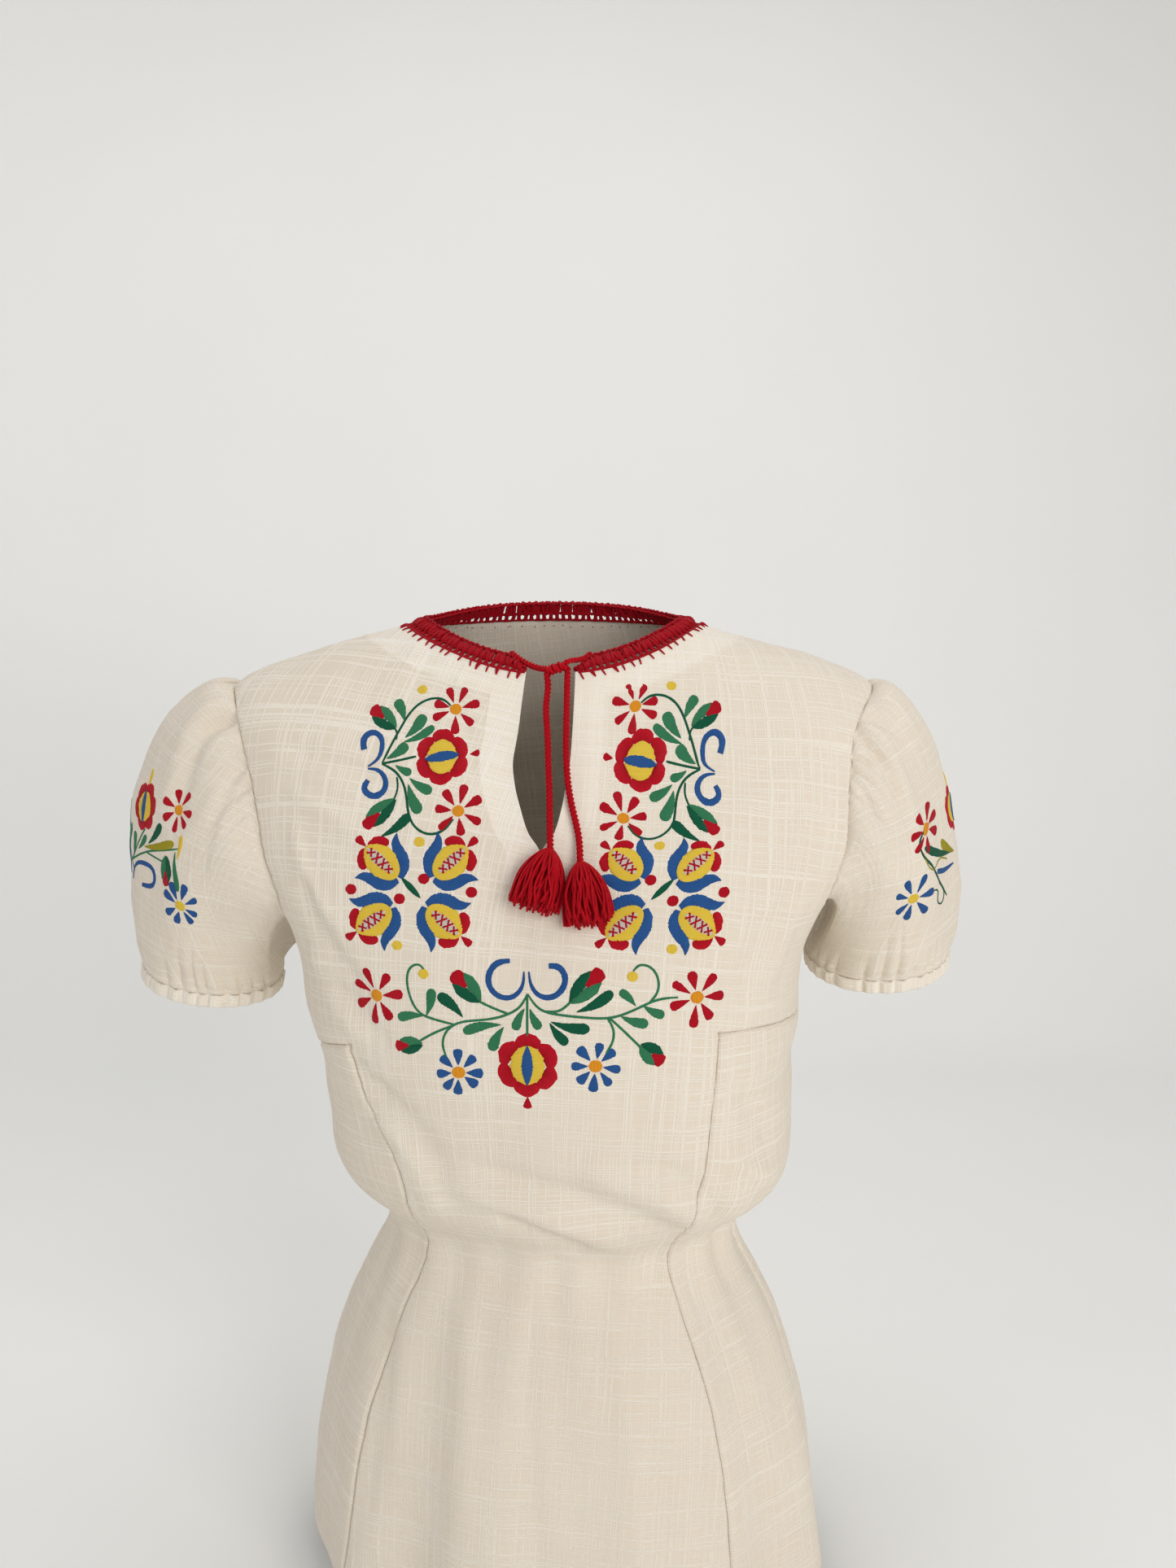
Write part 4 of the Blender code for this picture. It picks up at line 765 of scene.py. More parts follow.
frontCreases = (  # in millimetres: from x, z to x, z; how far the middle bows; depth (- is a trough) and width
    (-150, -75, -85, -100, 4, -2, 6.5), (-148, -100, -95, -135, 5, 1.8, 6),
    (-140, -150, -100, -215, -6, -2.6, 7), (-146, -120, -112, -180, -6, 2, 6),
    (-138, -190, -110, -236, -3, 2.2, 5.5), (-134, -205, -92, -238, 4, -2.2, 5.5),
    (150, -75, 95, -105, -4, -1.8, 6.5), (142, -130, 104, -205, 6, -2.4, 7), (146, -105, 118, -165, 5, 1.8, 6),
    (136, -170, 112, -225, 4, 2, 5.5), (-80, -12, -100, -50, 2, 1.2, 6), (82, -12, 104, -46, -2, 1.2, 6),
    (-60, -35, -45, -90, 3, -1, 6), (-40, -308, 74, -350, 7, -4.2, 9), (-50, -322, 40, -356, 5, 3.4, 7.5),
    (-30, -336, 20, -360, 3, -2.8, 6), (20, -306, 86, -336, 4, 3, 8), (60, -300, 96, -344, 5, -2.6, 7),
    (-106, -262, -60, -318, 8, -2.6, 9), (-96, -286, -64, -338, 4, 2.6, 7.5),
    (-112, -250, -90, -268, -2, -1.8, 6), (100, -258, 126, -304, 5, -2.6, 7), (98, -296, 130, -326, -3, 2.8, 7),
    (104, -312, 124, -342, 3, -2.6, 5.5), (-10, -120, -20, -200, 4, -0.8, 9), (20, -170, 12, -250, -4, 0.8, 10),
    (-100, -420, -125, -560, 6, -2.5, 9), (-50, -410, -62, -570, 5, 2.2, 10),
    (-10, -400, -6, -560, -4, -2.2, 9), (35, -405, 52, -575, 4, 2.4, 10), (80, -410, 105, -560, -6, -2.4, 9),
    (112, -430, 140, -570, 4, 2, 9),
)
backCreases = (
    (-150, -85, -80, -120, 5, -1.6, 7), (150, -85, 85, -125, -5, -1.6, 7), (-140, -150, -85, -220, -6, 1.8, 7),
    (140, -150, 90, -210, 6, 1.8, 7), (-130, -180, -70, -260, -5, -1.6, 7.5),
    (130, -185, 75, -255, 5, -1.6, 7.5), (-20, -30, -30, -110, 3, 0.9, 9), (30, -35, 20, -120, 3, -0.9, 9),
    (-60, -250, -30, -345, 6, 2, 9), (50, -255, 35, -345, -5, 1.8, 9), (0, -270, 8, -350, 3, -1.8, 8),
    (-95, -280, -70, -345, 4, -1.6, 7), (100, -285, 75, -345, -4, -1.6, 7),
    (-110, -420, -135, -565, 6, 2.4, 10), (-60, -410, -80, -570, 5, -2.4, 9),
    (-15, -405, -20, -570, 4, 2.2, 10), (30, -405, 36, -570, 4, -2.2, 9), (70, -410, 90, -570, -5, 2.4, 10),
    (110, -420, 135, -565, 5, -2.2, 9),
)


def creaseLift(points, creases):
    # A crease is a bowed line; its bell-shaped section fades out towards both of its ends.
    across, up = points[..., 0], points[..., 2]
    lift = np.zeros(across.shape)
    for startX, startZ, endX, endZ, bow, depth, width in mm * np.array(creases):
        length = math.hypot(endX - startX, endZ - startZ)
        alongX, alongZ = (endX - startX) / length, (endZ - startZ) / length
        along = ((across - startX) * alongX + (up - startZ) * alongZ) / length
        off = (up - startZ) * alongX - (across - startX) * alongZ - bow * 4 * along * (1 - along)
        steep, early = cloth["creaseFade"]
        fade = smooth(steep * along + early) * smooth(steep * (1 - along) + early)
        narrow, wider = cloth["creaseOpen"]
        off = off / (width * (narrow + wider * np.clip(along, 0, 1)))
        lift += depth * fade * np.exp(-np.where(off > 0, *cloth["creaseSides"]) * off**2)
    return lift


def softWaves(points):  # slow uneven swells: pairs of sine waves that cross, multiplied together
    wave = lambda line: np.sin(points @ np.array(line[:3]) + line[3])
    return cloth["crumple"] * sum(share * wave(first) * wave(second) for share, first, second in swells)


def bodyLift(points):  # every soft fold that isn't in the rings: front and back are blended at the sides
    front = smooth(0.5 - points[..., 1] / cloth["sideBlend"])
    back = cloth["backShare"] * creaseLift(points, backCreases)
    return front * creaseLift(points, frontCreases) + (1 - front) * back + softWaves(points)


def nearLine(points, line):  # distance to the nearest point of a line, and that point's run along it
    run = runAlong(line)
    flat = points.reshape(-1, 3)
    away, at = np.ones(len(flat)), np.zeros(len(flat))
    for first in range(0, len(line), cloth["linePoints"]):  # a few points of the line at a time, to save memory
        gap = np.linalg.norm(flat[:, None] - line[first:first + cloth["linePoints"]], axis=-1)
        nearest = gap.argmin(axis=1)
        closest = gap[np.arange(len(flat)), nearest]
        at = np.where(closest < away, run[first + nearest], at)
        away = np.minimum(closest, away)
    return away.reshape(points.shape[:-1]), at.reshape(points.shape[:-1])


def seamLift(points, lines):  # the trough of a seam, and small puckers that die away beside it
    lift = np.zeros(points.shape[:-1])
    push, slow = cloth["puckerWander"]
    for number, line in enumerate(lines):
        away, run = nearLine(points, line)
        lift -= cloth["seamDepth"] * bell(away / cloth["seamWidth"])
        turns = 2 * math.pi * run / cloth["puckerPitch"]
        beside = np.exp(-away / cloth["puckerReach"]) * (1 - np.exp(-away / cloth["puckerNear"]))
        pucker = np.sin(turns + push * np.sin(slow * turns + number)) + cloth["puckerRise"]
        lift += cloth["pucker"] * beside * pucker
    return lift


def hemLift(points):  # the small roll of a folded edge
    return cloth["hemRoll"] * sum(bell(nearLine(points, line)[0] / cloth["hemWidth"]) for line in bodyHemLines)


# The body panels.
facedColumn, princessColumn = cut["facingColumns"], cut["middleColumns"]
sideColumn, backColumn = cut["middleColumns"] + cut["outerColumns"], cut["backColumns"]
facingRow = slitRow + 1
seamSteps = {"along": 60, "across": 40, "spacing": 0.0015}
frontEdges = (0, facedColumn, princessColumn, sideColumn)  # columns with a finer mesh beside them


def fineLine(points):  # the same line with evenly spaced points
    return evenPoints(points, max(3, int(runAlong(points)[-1] / seamSteps["spacing"])))


def seamAlong(half, column, firstRow, finalRow):  # down one column of the cut
    at = np.linspace(firstRow, finalRow, seamSteps["along"] * (finalRow - firstRow))
    return fineLine(body(*[rowsAt(values[:, column], at) for values in half]))


def seamAcross(half, row, firstColumn, finalColumn):  # along one row of the cut
    at = np.linspace(firstColumn, finalColumn, seamSteps["across"] * (finalColumn - firstColumn))
    return fineLine(body(*[columnsAt(values[row:row + 1], at)[0] for values in half]))


def bodySeams():
    # Every seam that draws the cloth in, and every folded edge.
    seams, hems = [], []
    for side in sides:
        front, back = frontHalf(side), backHalf(side)
        seams += [
            seamAlong(front, sideColumn, 0, shoulderRow), seamAlong(front, sideColumn, shoulderRow, underarmRow),
            seamAlong(back, backColumn, shoulderRow, underarmRow), seamAlong(front, sideColumn, underarmRow, lastRow),
            seamAcross(front, bustRow, princessColumn, sideColumn), seamAlong(front, princessColumn, bustRow, lastRow)]
        hems += [seamAcross(front, 0, 0, sideColumn), seamAcross(back, 0, 0, backColumn),
                 seamAlong(front, 0, 0, slitRow), seamAcross(front, lastRow, 0, sideColumn),
                 seamAcross(back, lastRow, 0, backColumn)]
    return seams, hems


def facedShare(rows, columns):  # 1 where the facing lies behind the front, 0 away from it
    within = lambda limit, places: smooth((limit - places) / cloth["facingEdge"] + 0.5)
    rows, columns = np.meshgrid(rows, columns, indexing="ij")
    return np.maximum(within(facedColumn, columns) * within(facingRow, rows), within(1, rows))


def panelPoints(level, angle, faced):  # the body moved along its normal by folds, seams and the facing's edge
    base = body(level, angle)
    normal = normalOf(body, level, angle)
    lift = bodyLift(base) + seamLift(base, bodySeamLines) + hemLift(base)
    lift += cloth["facingLift"] * faced + cloth["facingRidge"] * 4 * faced * (1 - faced)
    return base + lift[..., None] * normal, normal


def readRun(collection, name, width, kind):  # one named value of every item, as rows
    values = np.empty(len(collection) * width, kind)
    collection.foreach_get(name, values)
    return values.reshape(-1, width)


def flattened(piece, top, bottom):
    # A conformal flat map, made upright from one point to another and given in metres.
    bpy.context.view_layer.objects.active = piece
    for other in bpy.context.selected_objects:
        other.select_set(False)
    piece.select_set(True)
    data = piece.data
    data.uv_layers.new(name="cloth")
    bpy.ops.object.mode_set(mode="EDIT")
    bpy.ops.mesh.select_all(action="SELECT")
    bpy.ops.uv.unwrap(method="CONFORMAL", margin=0.0)
    bpy.ops.object.mode_set(mode="OBJECT")
    uv = readRun(data.uv_layers["cloth"].data, "uv", 2, np.float32).astype(float)
    vertex = readRun(data.loops, "vertex_index", 1, np.int32)[:, 0]
    points = readRun(data.vertices, "co", 3, np.float32).astype(float)
    place = np.zeros((len(points), 2))
    place[vertex] = uv
    quads = vertex.reshape(-1, 4)
    flatSide, realSide = [
        np.linalg.norm(values[quads[:, 1]] - values[quads[:, 0]], axis=1).sum() for values in (place, points)]
    way = unit(place[top] - place[bottom])
    upright = np.stack([uv @ np.array([way[1], -way[0]]), uv @ way], -1) * realSide / flatSide
    upright -= upright.mean(axis=0)
    data.uv_layers["cloth"].data.foreach_set("uv", upright.astype(np.float32).ravel())


def thickened(piece, thickness):  # a wall of even thickness, inwards from the outer face
    wallOf = piece.modifiers.new("cloth thickness", "SOLIDIFY")
    wallOf.thickness = thickness
    wallOf.offset = -1
    wallOf.use_even_offset = False
    return piece


def clothPiece(name, node, points, quads, marks, upright=None, uv=None):
    # One cloth piece: its node is named by it, its flat map is made here where it has none, and it gets its wall.
    plain = node != "front_facing"
    piece = newPiece(name, points, quads, slubCloth if plain else doubledCloth, uv=uv,
                     marks={"doubled": marks} if plain else None,
                     slot="slubbed_cloth" if plain else "doubled_cloth", replaces=(node,))
    if uv is None:
        flattened(piece, *upright)
    return thickened(piece, cloth["thickness"] if plain else cloth["facingThickness"])


def sewnHalves(name, node, halves, kept, top, bottom):
    # Two half grids as one piece of outward quads, joined down their first columns from row top to the end,
    # with the cells that kept chooses by the row and column of their middles.
    points, quads, marks, count = [], [], [], 0
    for rows, columns, grid, mark, flip in halves:
        middles = [0.5 * (places[1:] + places[:-1]) for places in (rows, columns)]
        cells = quadsOf(len(rows), len(columns))[kept(*np.meshgrid(*middles, indexing="ij")).ravel()]
        quads.append((cells[:, ::-1] if flip else cells) + count)
        points.append(grid.reshape(-1, 3))
        marks.append(mark.ravel())
        count += mark.size
    joint = np.nonzero(rows >= top - 1e-6)[0] * len(columns)
    renamed = np.arange(count)
    renamed[joint + count // 2] = joint
    used, quads = np.unique(renamed[np.concatenate(quads)], return_inverse=True)
    last = np.nonzero(rows <= bottom + 1e-6)[0][-1] * len(columns)
    return clothPiece(name, node, np.concatenate(points)[used], quads.reshape(-1, 4), np.concatenate(marks)[used],
                      np.searchsorted(used, (joint[0], last)))


def frontHalves():  # for each side the front's outer face, and the facing's, which lies behind it
    for side in sides:
        rows, columns, level, angle = fineHalf(frontHalf(side), frontEdges)
        faced = facedShare(rows, columns)
        grid, normal = panelPoints(level, angle, faced)
        under = grid - (cloth["thickness"] + cloth["facingGap"]) * normal
        flip = side == "left"
        yield (rows, columns, grid, faced, flip), (rows, columns, under, np.ones_like(faced), flip)


def backHalves():  # for each side the back's outer face
    for side in sides:
        rows, columns, level, angle = fineHalf(backHalf(side), (backColumn,))
        yield rows, columns, panelPoints(level, angle, 0)[0], np.zeros(level.shape), side == "right"


def buildSidePanel(side):  # the part of the front half below the bust seam and outside the princess seam
    rows, columns, level, angle = fineHalf(frontHalf(side), frontEdges)
    down, out = rows >= bustRow - 1e-6, columns >= princessColumn - 1e-6
    level, angle = level[down][:, out], angle[down][:, out]
    quads = quadsOf(*level.shape)
    quads = quads[:, ::-1] if side == "left" else quads
    points = panelPoints(level, angle, 0)[0].reshape(-1, 3)
    clothPiece("sidePanel" + side.title(), "side_panel_" + side, points, quads, np.zeros(level.size),
               (0, (level.shape[0] - 1) * level.shape[1]))


bodySeamLines, bodyHemLines = bodySeams()
frontSides, facingSides = zip(*frontHalves())
backSides = list(backHalves())
sewnHalves("frontCloth", "front", frontSides, lambda row, column: (row < bustRow) | (column < princessColumn),
           slitRow, lastRow)
facing = sewnHalves("frontFacing", "front_facing", facingSides, lambda row, column: (row < 1) | (
    (column < facedColumn) & (row < facingRow)), slitRow, facingRow)
for side in sides:
    buildSidePanel(side)
sewnHalves("backCloth", "back", backSides, lambda row, column: row < lastRow, 0, lastRow)
print("body panels made")

# The sleeves: cloth pulled from the armhole to the hem ring, gathered at both ends. Reaches are shares of
# the way down the sleeve.
sleeve = {
    "columns": 336, "rows": 66, "gathers": 24, "capDepth": 0.0021, "capReach": 0.13, "capEase": 0.012,
    "longDepth": 0.0004, "longFrom": 0.1, "longTo": 0.55, "puffDepth": 0.0010, "puffReach": 0.4, "ease": 0.010,
    "hemGathers": 26, "hemDepth": 0.0012, "hemReach": 0.15, "hemEase": 0.05, "hemEased": 0.55,
    "crumple": 1.8, "crumpleEase": 0.08, "ridge": 0.8, "ridgeDrop": 1.2, "capTop": (1.3, 0.25),
    "pleatOver": 1.2, "pleatOpen": (0.8, 0.7), "pleatFade": 1.25, "shift": {"left": 0.7, "right": 2.9},
}
waves = {  # size, count in one turn, shift
    "uneven": ((0.075, 3, 1.0), (0.040, 7, 2.3), (0.022, 13, 4.1)),
    "ridge": ((0.35, 3, 0.7 + math.pi / 2), (0.25, 5, 1.9)),
    "cap": ((0.35, 5, 0.9), (0.25, 11, 2.0)), "hem": ((0.3, 4, 1.7), (0.2, 9, 0.0)),
}
casing = {
    "height": 0.0088, "wall": 0.0020, "gap": 0.0003, "out": 0.0004, "outerMore": 0.0005, "sides": 16, "round": 0.6,
    "wave": 0.0011, "fine": 0.0003, "fineCount": 57, "fineShift": 1.1, "edgeWave": 0.0004, "edgeFine": 0.0002,
    "outerReach": 1.4, "closing": 0.001,
}
hemRings = {  # across, y, z of the middle, radius, rise, dip in degrees
    "left": (0.2265, 0.020, -0.2240, 0.0445, 10.0, 8.0), "right": (0.2120, 0.018, -0.2110, 0.0458, 4.0, 14.0),
}
pulls = {  # for the top, front, under and back lines: out, up, fore where the cloth starts, then where it ends
    "left": ((0.255, 0.020, 0.000, -0.036, -0.086, 0.000), (0.080, -0.040, 0.060, -0.010, -0.110, -0.050),
             (0.026, -0.012, 0.000, -0.012, -0.050, 0.000), (0.080, -0.040, -0.060, -0.010, -0.110, 0.050)),
    "right": ((0.150, 0.026, 0.000, -0.055, -0.080, 0.000), (0.090, -0.030, 0.060, -0.010, -0.105, -0.050),
              (0.034, -0.012, 0.000, -0.012, -0.050, 0.000), (0.090, -0.030, -0.060, -0.010, -0.105, 0.050)),
}
tucks = {  # turn in degrees, share down the sleeve, depth, half width in degrees, half length in share
    "left": ((-34.0, 0.05, -0.0042, 5.0, 0.075), (31.0, 0.06, -0.0040, 4.5, 0.08), (12.0, 0.05, 0.0030, 6.0, 0.06),
             (58.0, 0.08, -0.0020, 7.0, 0.07), (82.0, 0.13, -0.0016, 8.0, 0.08), (-70.0, 0.12, -0.0020, 8.0, 0.09),
             (70.0, 0.60, 0.0026, 16.0, 0.22), (108.0, 0.66, -0.0022, 14.0, 0.20), (20.0, 0.70, -0.0012, 12.0, 0.18),
             (-60.0, 0.62, 0.0026, 14.0, 0.22), (-110.0, 0.60, -0.0026, 12.0, 0.20)),
    "right": ((-30.0, 0.05, -0.0036, 5.0, 0.075), (26.0, 0.05, -0.0036, 4.5, 0.08), (8.0, 0.05, 0.0026, 6.0, 0.06),
              (55.0, 0.08, -0.0021, 7.0, 0.08), (84.0, 0.12, -0.0016, 8.0, 0.08), (-66.0, 0.12, -0.0020, 8.0, 0.09),
              (62.0, 0.58, 0.0022, 16.0, 0.20), (104.0, 0.66, -0.0018, 15.0, 0.18), (30.0, 0.72, -0.0012, 12.0, 0.18),
              (-62.0, 0.60, 0.0026, 14.0, 0.22), (-112.0, 0.62, -0.0026, 12.0, 0.20)),
}
pleats = {  # turn at the armhole and where it ends, share where it ends, depth, half width in degrees
    "left": ((27.0, 63.0, 0.50, -0.0046, 4.5), (19.0, 55.0, 0.52, 0.0036, 7.0), (58.0, 96.0, 0.55, -0.0026, 5.0),
             (-24.0, -58.0, 0.46, -0.0036, 5.0), (-16.0, -50.0, 0.46, 0.0028, 7.0), (8.0, 12.0, 0.24, -0.0024, 3.5)),
    "right": ((36.0, 73.0, 0.52, -0.0042, 4.5), (28.0, 65.0, 0.52, 0.0032, 7.0), (14.0, 30.0, 0.26, -0.0034, 3.5),
              (70.0, 100.0, 0.55, -0.0024, 5.0), (-24.0, -60.0, 0.46, -0.0034, 5.0),
              (-16.0, -52.0, 0.46, 0.0026, 7.0)),
}


def waved(turn, name, shiftBy=1.0):  # the sum of a few sine waves round the sleeve
    return sum(size * np.sin(count * turn + shift * shiftBy) for size, count, shift in waves[name])


def unevenTurn(turn, side):  # the turn pushed to and fro, so that no two gathers are alike
    return turn + waved(turn, "uneven", sleeve["shift"][side])


def gatherWave(turn, side, count):  # round ridges with narrow troughs between them, of uneven height
    ridge = 2 * abs(np.cos(0.5 * count * unevenTurn(turn, side))) ** sleeve["ridge"] - sleeve["ridgeDrop"]
    return ridge * (1 + waved(turn, "ridge"))


def pullAt(side, turn, first):  # top and under by the squared cosine, front and back by the squared sine
    top, fore, under, aft = [np.array(line[first:first + 3]) for line in pulls[side]]
    cosine, sine = np.cos(turn)[:, None], np.sin(turn)[:, None]
    pull = np.where(cosine > 0, top, under) * cosine**2 + np.where(sine > 0, fore, aft) * sine**2
    return np.stack([signOf[side] * pull[:, 0], -pull[:, 2], pull[:, 1]], -1)


def hemRing(side, turn, drop=0.0, out=0.0):  # a circle across the sleeve, moved down along it and out from it
    x, y, z, radius, rise, dip = hemRings[side]
    rise, dip = math.radians(rise), math.radians(dip)
    outward = np.array([signOf[side] * math.cos(rise), 0, math.sin(rise)])
    forward = np.array([0, -math.cos(dip), -math.sin(dip)])
    down = unit(np.cross(outward, forward))
    down = down if down[2] < 0 else -down
    ring = np.cos(turn)[..., None] * outward + np.sin(turn)[..., None] * forward
    middle = np.array([signOf[side] * x, y, z])
    return middle + np.asarray(radius + out)[..., None] * ring + np.asarray(drop)[..., None] * down


def armholeRing(side, turn):
    # The panels' own edges, front then back, read at even turns.
    parts = []
    for halves in (frontSides, backSides):
        rows, _, grid = halves[sides.index(side)][:3]
        near = (rows >= shoulderRow - 1e-6) & (rows <= underarmRow + 1e-6)
        place = math.pi * (rows[near] - shoulderRow) / (underarmRow - shoulderRow)
        parts.append(np.concatenate([place[:, None], grid[near][:, -1]], axis=1))
    front, back = parts
    back = back[::-1][1:]
    places = np.concatenate([front[:, 0], 2 * math.pi - back[:, 0]])
    edge = np.concatenate([front[:, 1:], back[:, 1:]])
    return np.stack([np.interp(turn, places, column) for column in edge.T], -1)


def ringNormals(grid):  # outward normals of rings that go down the sleeve
    around = np.roll(grid, -1, axis=1) - np.roll(grid, 1, axis=1)
    normal = unit(np.cross(np.gradient(grid, axis=0), around))
    inside = ((grid - grid.mean(axis=1, keepdims=True)) * normal).sum() < 0
    return -normal if inside else normal


def sleevePoints(side, turn, share):
    # Hermite curves from the armhole to the hem, then gathers, tucks and soft folds along the normal.
    s = share[:, None, None]
    grid = ((2 * s**3 - 3 * s**2 + 1) * armholeRing(side, turn) + (s**3 - 2 * s**2 + s) * pullAt(side, turn, 0)
            + (3 * s**2 - 2 * s**3) * hemRing(side, turn) + (s**3 - s**2) * pullAt(side, turn, 3))
    normal = ringNormals(grid)
    t, at = turn[None, :], share[:, None]
    rising = lambda reach: 1 - np.exp(-at / reach)  # rises from nothing at the armhole
    steep, early = sleeve["capTop"]
    cap = smooth(np.cos(t) * steep + early)
    capReach = sleeve["capReach"] * (1 + waved(t, "cap"))
    wave = gatherWave(t, side, sleeve["gathers"])
    lift = sleeve["capDepth"] * wave * cap * rising(sleeve["capEase"]) * bell(at / capReach)
    lift += sleeve["longDepth"] * wave * cap * smooth(at / sleeve["longFrom"]) * smooth(1 - at / sleeve["longTo"])
    lift += sleeve["puffDepth"] * cap * rising(sleeve["ease"]) * smooth(1 - at / sleeve["puffReach"])
    hemReach = sleeve["hemReach"] * (1 + waved(t, "hem"))
    hemEase = 1 - sleeve["hemEased"] * (1 - smooth((1 - at) / sleeve["hemEase"]))
    lift += sleeve["hemDepth"] * gatherWave(t, side, sleeve["hemGathers"]) * bell((1 - at) / hemReach) * hemEase
    for degrees, middle, depth, halfTurn, halfShare in tucks[side]:
        tuck = bell(degreesFrom(degrees, t) / halfTurn) * bell((at - middle) / halfShare)
        lift += depth * tuck * rising(sleeve["ease"])
    for first, last, until, depth, halfTurn in pleats[side]:
        centre = first + (last - first) * np.minimum(at / until, sleeve["pleatOver"])
        away = degreesFrom(centre, t) / (halfTurn * (sleeve["pleatOpen"][0] + sleeve["pleatOpen"][1] * at / until))
        lift += depth * bell(away) * rising(sleeve["capEase"]) * smooth(sleeve["pleatFade"] * (1 - at / until))
    ends = smooth(at / sleeve["crumpleEase"]) * smooth((1 - at) / sleeve["crumpleEase"])
    lift += sleeve["crumple"] * softWaves(grid) * ends
    return grid + lift[..., None] * normal, normal


def wrapped(places):  # the corners that have come round to the first row or column again
    return (np.ptp(places, axis=1) > 1)[:, None] & (places == 0)


def sleeveUv(grid, quads):
    # Across by the length round each ring from the top line, down by the length along each line from the hem.
    rows, columns = grid.shape[:2]
    step = np.linalg.norm(np.roll(grid, -1, axis=1) - grid, axis=-1)
    around = np.concatenate([np.zeros((rows, 1)), np.cumsum(step, axis=1)], axis=1)
    down = np.linalg.norm(np.diff(grid, axis=0), axis=-1)
    up = np.concatenate([np.cumsum(down[::-1], axis=0)[::-1], np.zeros((1, columns))])
    r, c = quads // columns, quads % columns
    far = np.where(wrapped(c), columns, c)
    behind = (far.max(axis=1) > columns // 2)[:, None]
    return np.stack([around[r, far] - np.where(behind, around[r, columns], 0), up[r, c]], -1).reshape(-1, 2)


sleeveGrids = {}


def buildSleeve(side):  # even turns, and shares down by half a cosine, closer together at both ends
    turn = 2 * math.pi * np.arange(sleeve["columns"]) / sleeve["columns"]
    share = 0.5 - 0.5 * np.cos(math.pi * np.linspace(0, 1, sleeve["rows"]))
    grid, normal = sleevePoints(side, turn, share)
    sleeveGrids[side] = turn, share, grid, normal
    quads = quadsOf(*grid.shape[:2], True)
    facing = np.cross(grid[1, 0] - grid[0, 0], grid[0, 1] - grid[0, 0]) @ normal[0, 0]
    quads = quads if facing > 0 else quads[:, ::-1]
    return clothPiece("sleeve" + side.title(), "sleeve_" + side, grid.reshape(-1, 3), quads,
                      np.zeros(grid[..., 0].size), uv=sleeveUv(grid, quads))


def buildCasing(side):
    # A flattened ring of doubled cloth; the elastic inside puckers its outer face and its lower edge.
    count, around = sleeve["columns"], casing["sides"]
    t, v = np.meshgrid(2 * math.pi * np.arange(count) / count, 2 * math.pi * np.arange(around) / around)
    wave = gatherWave(t, side, sleeve["hemGathers"])
    fine = np.sin(casing["fineCount"] * unevenTurn(t, side) + casing["fineShift"])
    tall, thick = casing["height"] / 2, casing["wall"] / 2
    rounded = lambda value: np.sign(value) * abs(value) ** casing["round"]
    drop = casing["gap"] + tall + tall * rounded(-np.cos(v))
    drop += (casing["edgeWave"] * wave + casing["edgeFine"] * fine) * smooth(np.cos(v))
    puffed = casing["wave"] * wave + casing["fine"] * fine + casing["outerMore"]
    out = casing["out"] - thick + thick * rounded(np.sin(v)) + smooth(casing["outerReach"] * np.sin(v)) * puffed
    ring = hemRing(side, t, drop, out)
    quads = quadsOf(around + 1, count, True) % (around * count)
    outer, inner = around // 4, 3 * around // 4
    cross = np.cross(ring[outer + 1, 0] - ring[outer, 0], ring[outer, 1] - ring[outer, 0])
    quads = quads if cross @ (ring[outer, 0] - ring[inner, 0]) > 0 else quads[:, ::-1]
    high = np.concatenate([[0], np.cumsum(np.linalg.norm(np.diff(ring, axis=0), axis=-1).mean(axis=1))])
    girth = np.linalg.norm(np.roll(ring[0], -1, axis=0) - ring[0], axis=1).sum()
    r, c = quads // count, quads % count
    down = np.where(wrapped(r), high[-1] + casing["closing"], high[r])
    uv = np.stack([np.where(wrapped(c), count, c) * girth / count, -down], -1).reshape(-1, 2)
    return newPiece("sleeveBand" + side.title(), ring.reshape(-1, 3), quads, doubledCloth, uv=uv,
                    slot="doubled_cloth", replaces=("sleeve_band_" + side,))


for side in sides:
    buildSleeve(side)
casings = {side: buildCasing(side) for side in sides}
print("sleeves made")

# The crochet edging and its blanket stitch.
crochet = {
    "pitch": 0.0044, "sides": 7, "endInset": 0.0012, "uneven": 0.00050, "scallop": 0.0011, "fullWidth": 0.008,
    "postRadius": 0.00108, "postTop": 0.36, "postFoot": 0.00075, "postLean": 0.00045, "postOut": 0.0003,
    "fan": (-0.46, 0.0, 0.46), "fanRadius": 0.00118, "fanTop": 0.93, "fanSink": 0.04, "fanLean": 0.22,
    "fanBulge": (0.0010, 0.0006), "fanOut": 0.0005, "slimmest": 0.45,
    "linkPitch": 0.0024, "linkRadius": 0.00085, "linkReach": 0.0012, "linkHeight": 0.97, "linkLength": 1.35,
    "footRadius": 0.00075, "footHeight": 0.02, "wobble": 0.00018, "beadRadius": 0.00105, "beadHeight": 0.41,
    "rowStep": 0.0011, "rowInset": 0.0004, "footSwell": (0.16, 5200), "beadSwell": 0.13, "postWaist": 0.12,
    "fanOpen": (0.35, 0.55), "leanFrom": 0.3, "outerDrop": 0.05, "fanSwell": (0.72, 0.45), "fanPlump": (0.15, 0.75),
    "linkRise": 0.035, "linkUneven": 0.012, "linkOpen": (0.25, 0.75), "linkSwell": (0.55, 0.5), "linkStart": 0.1,
}
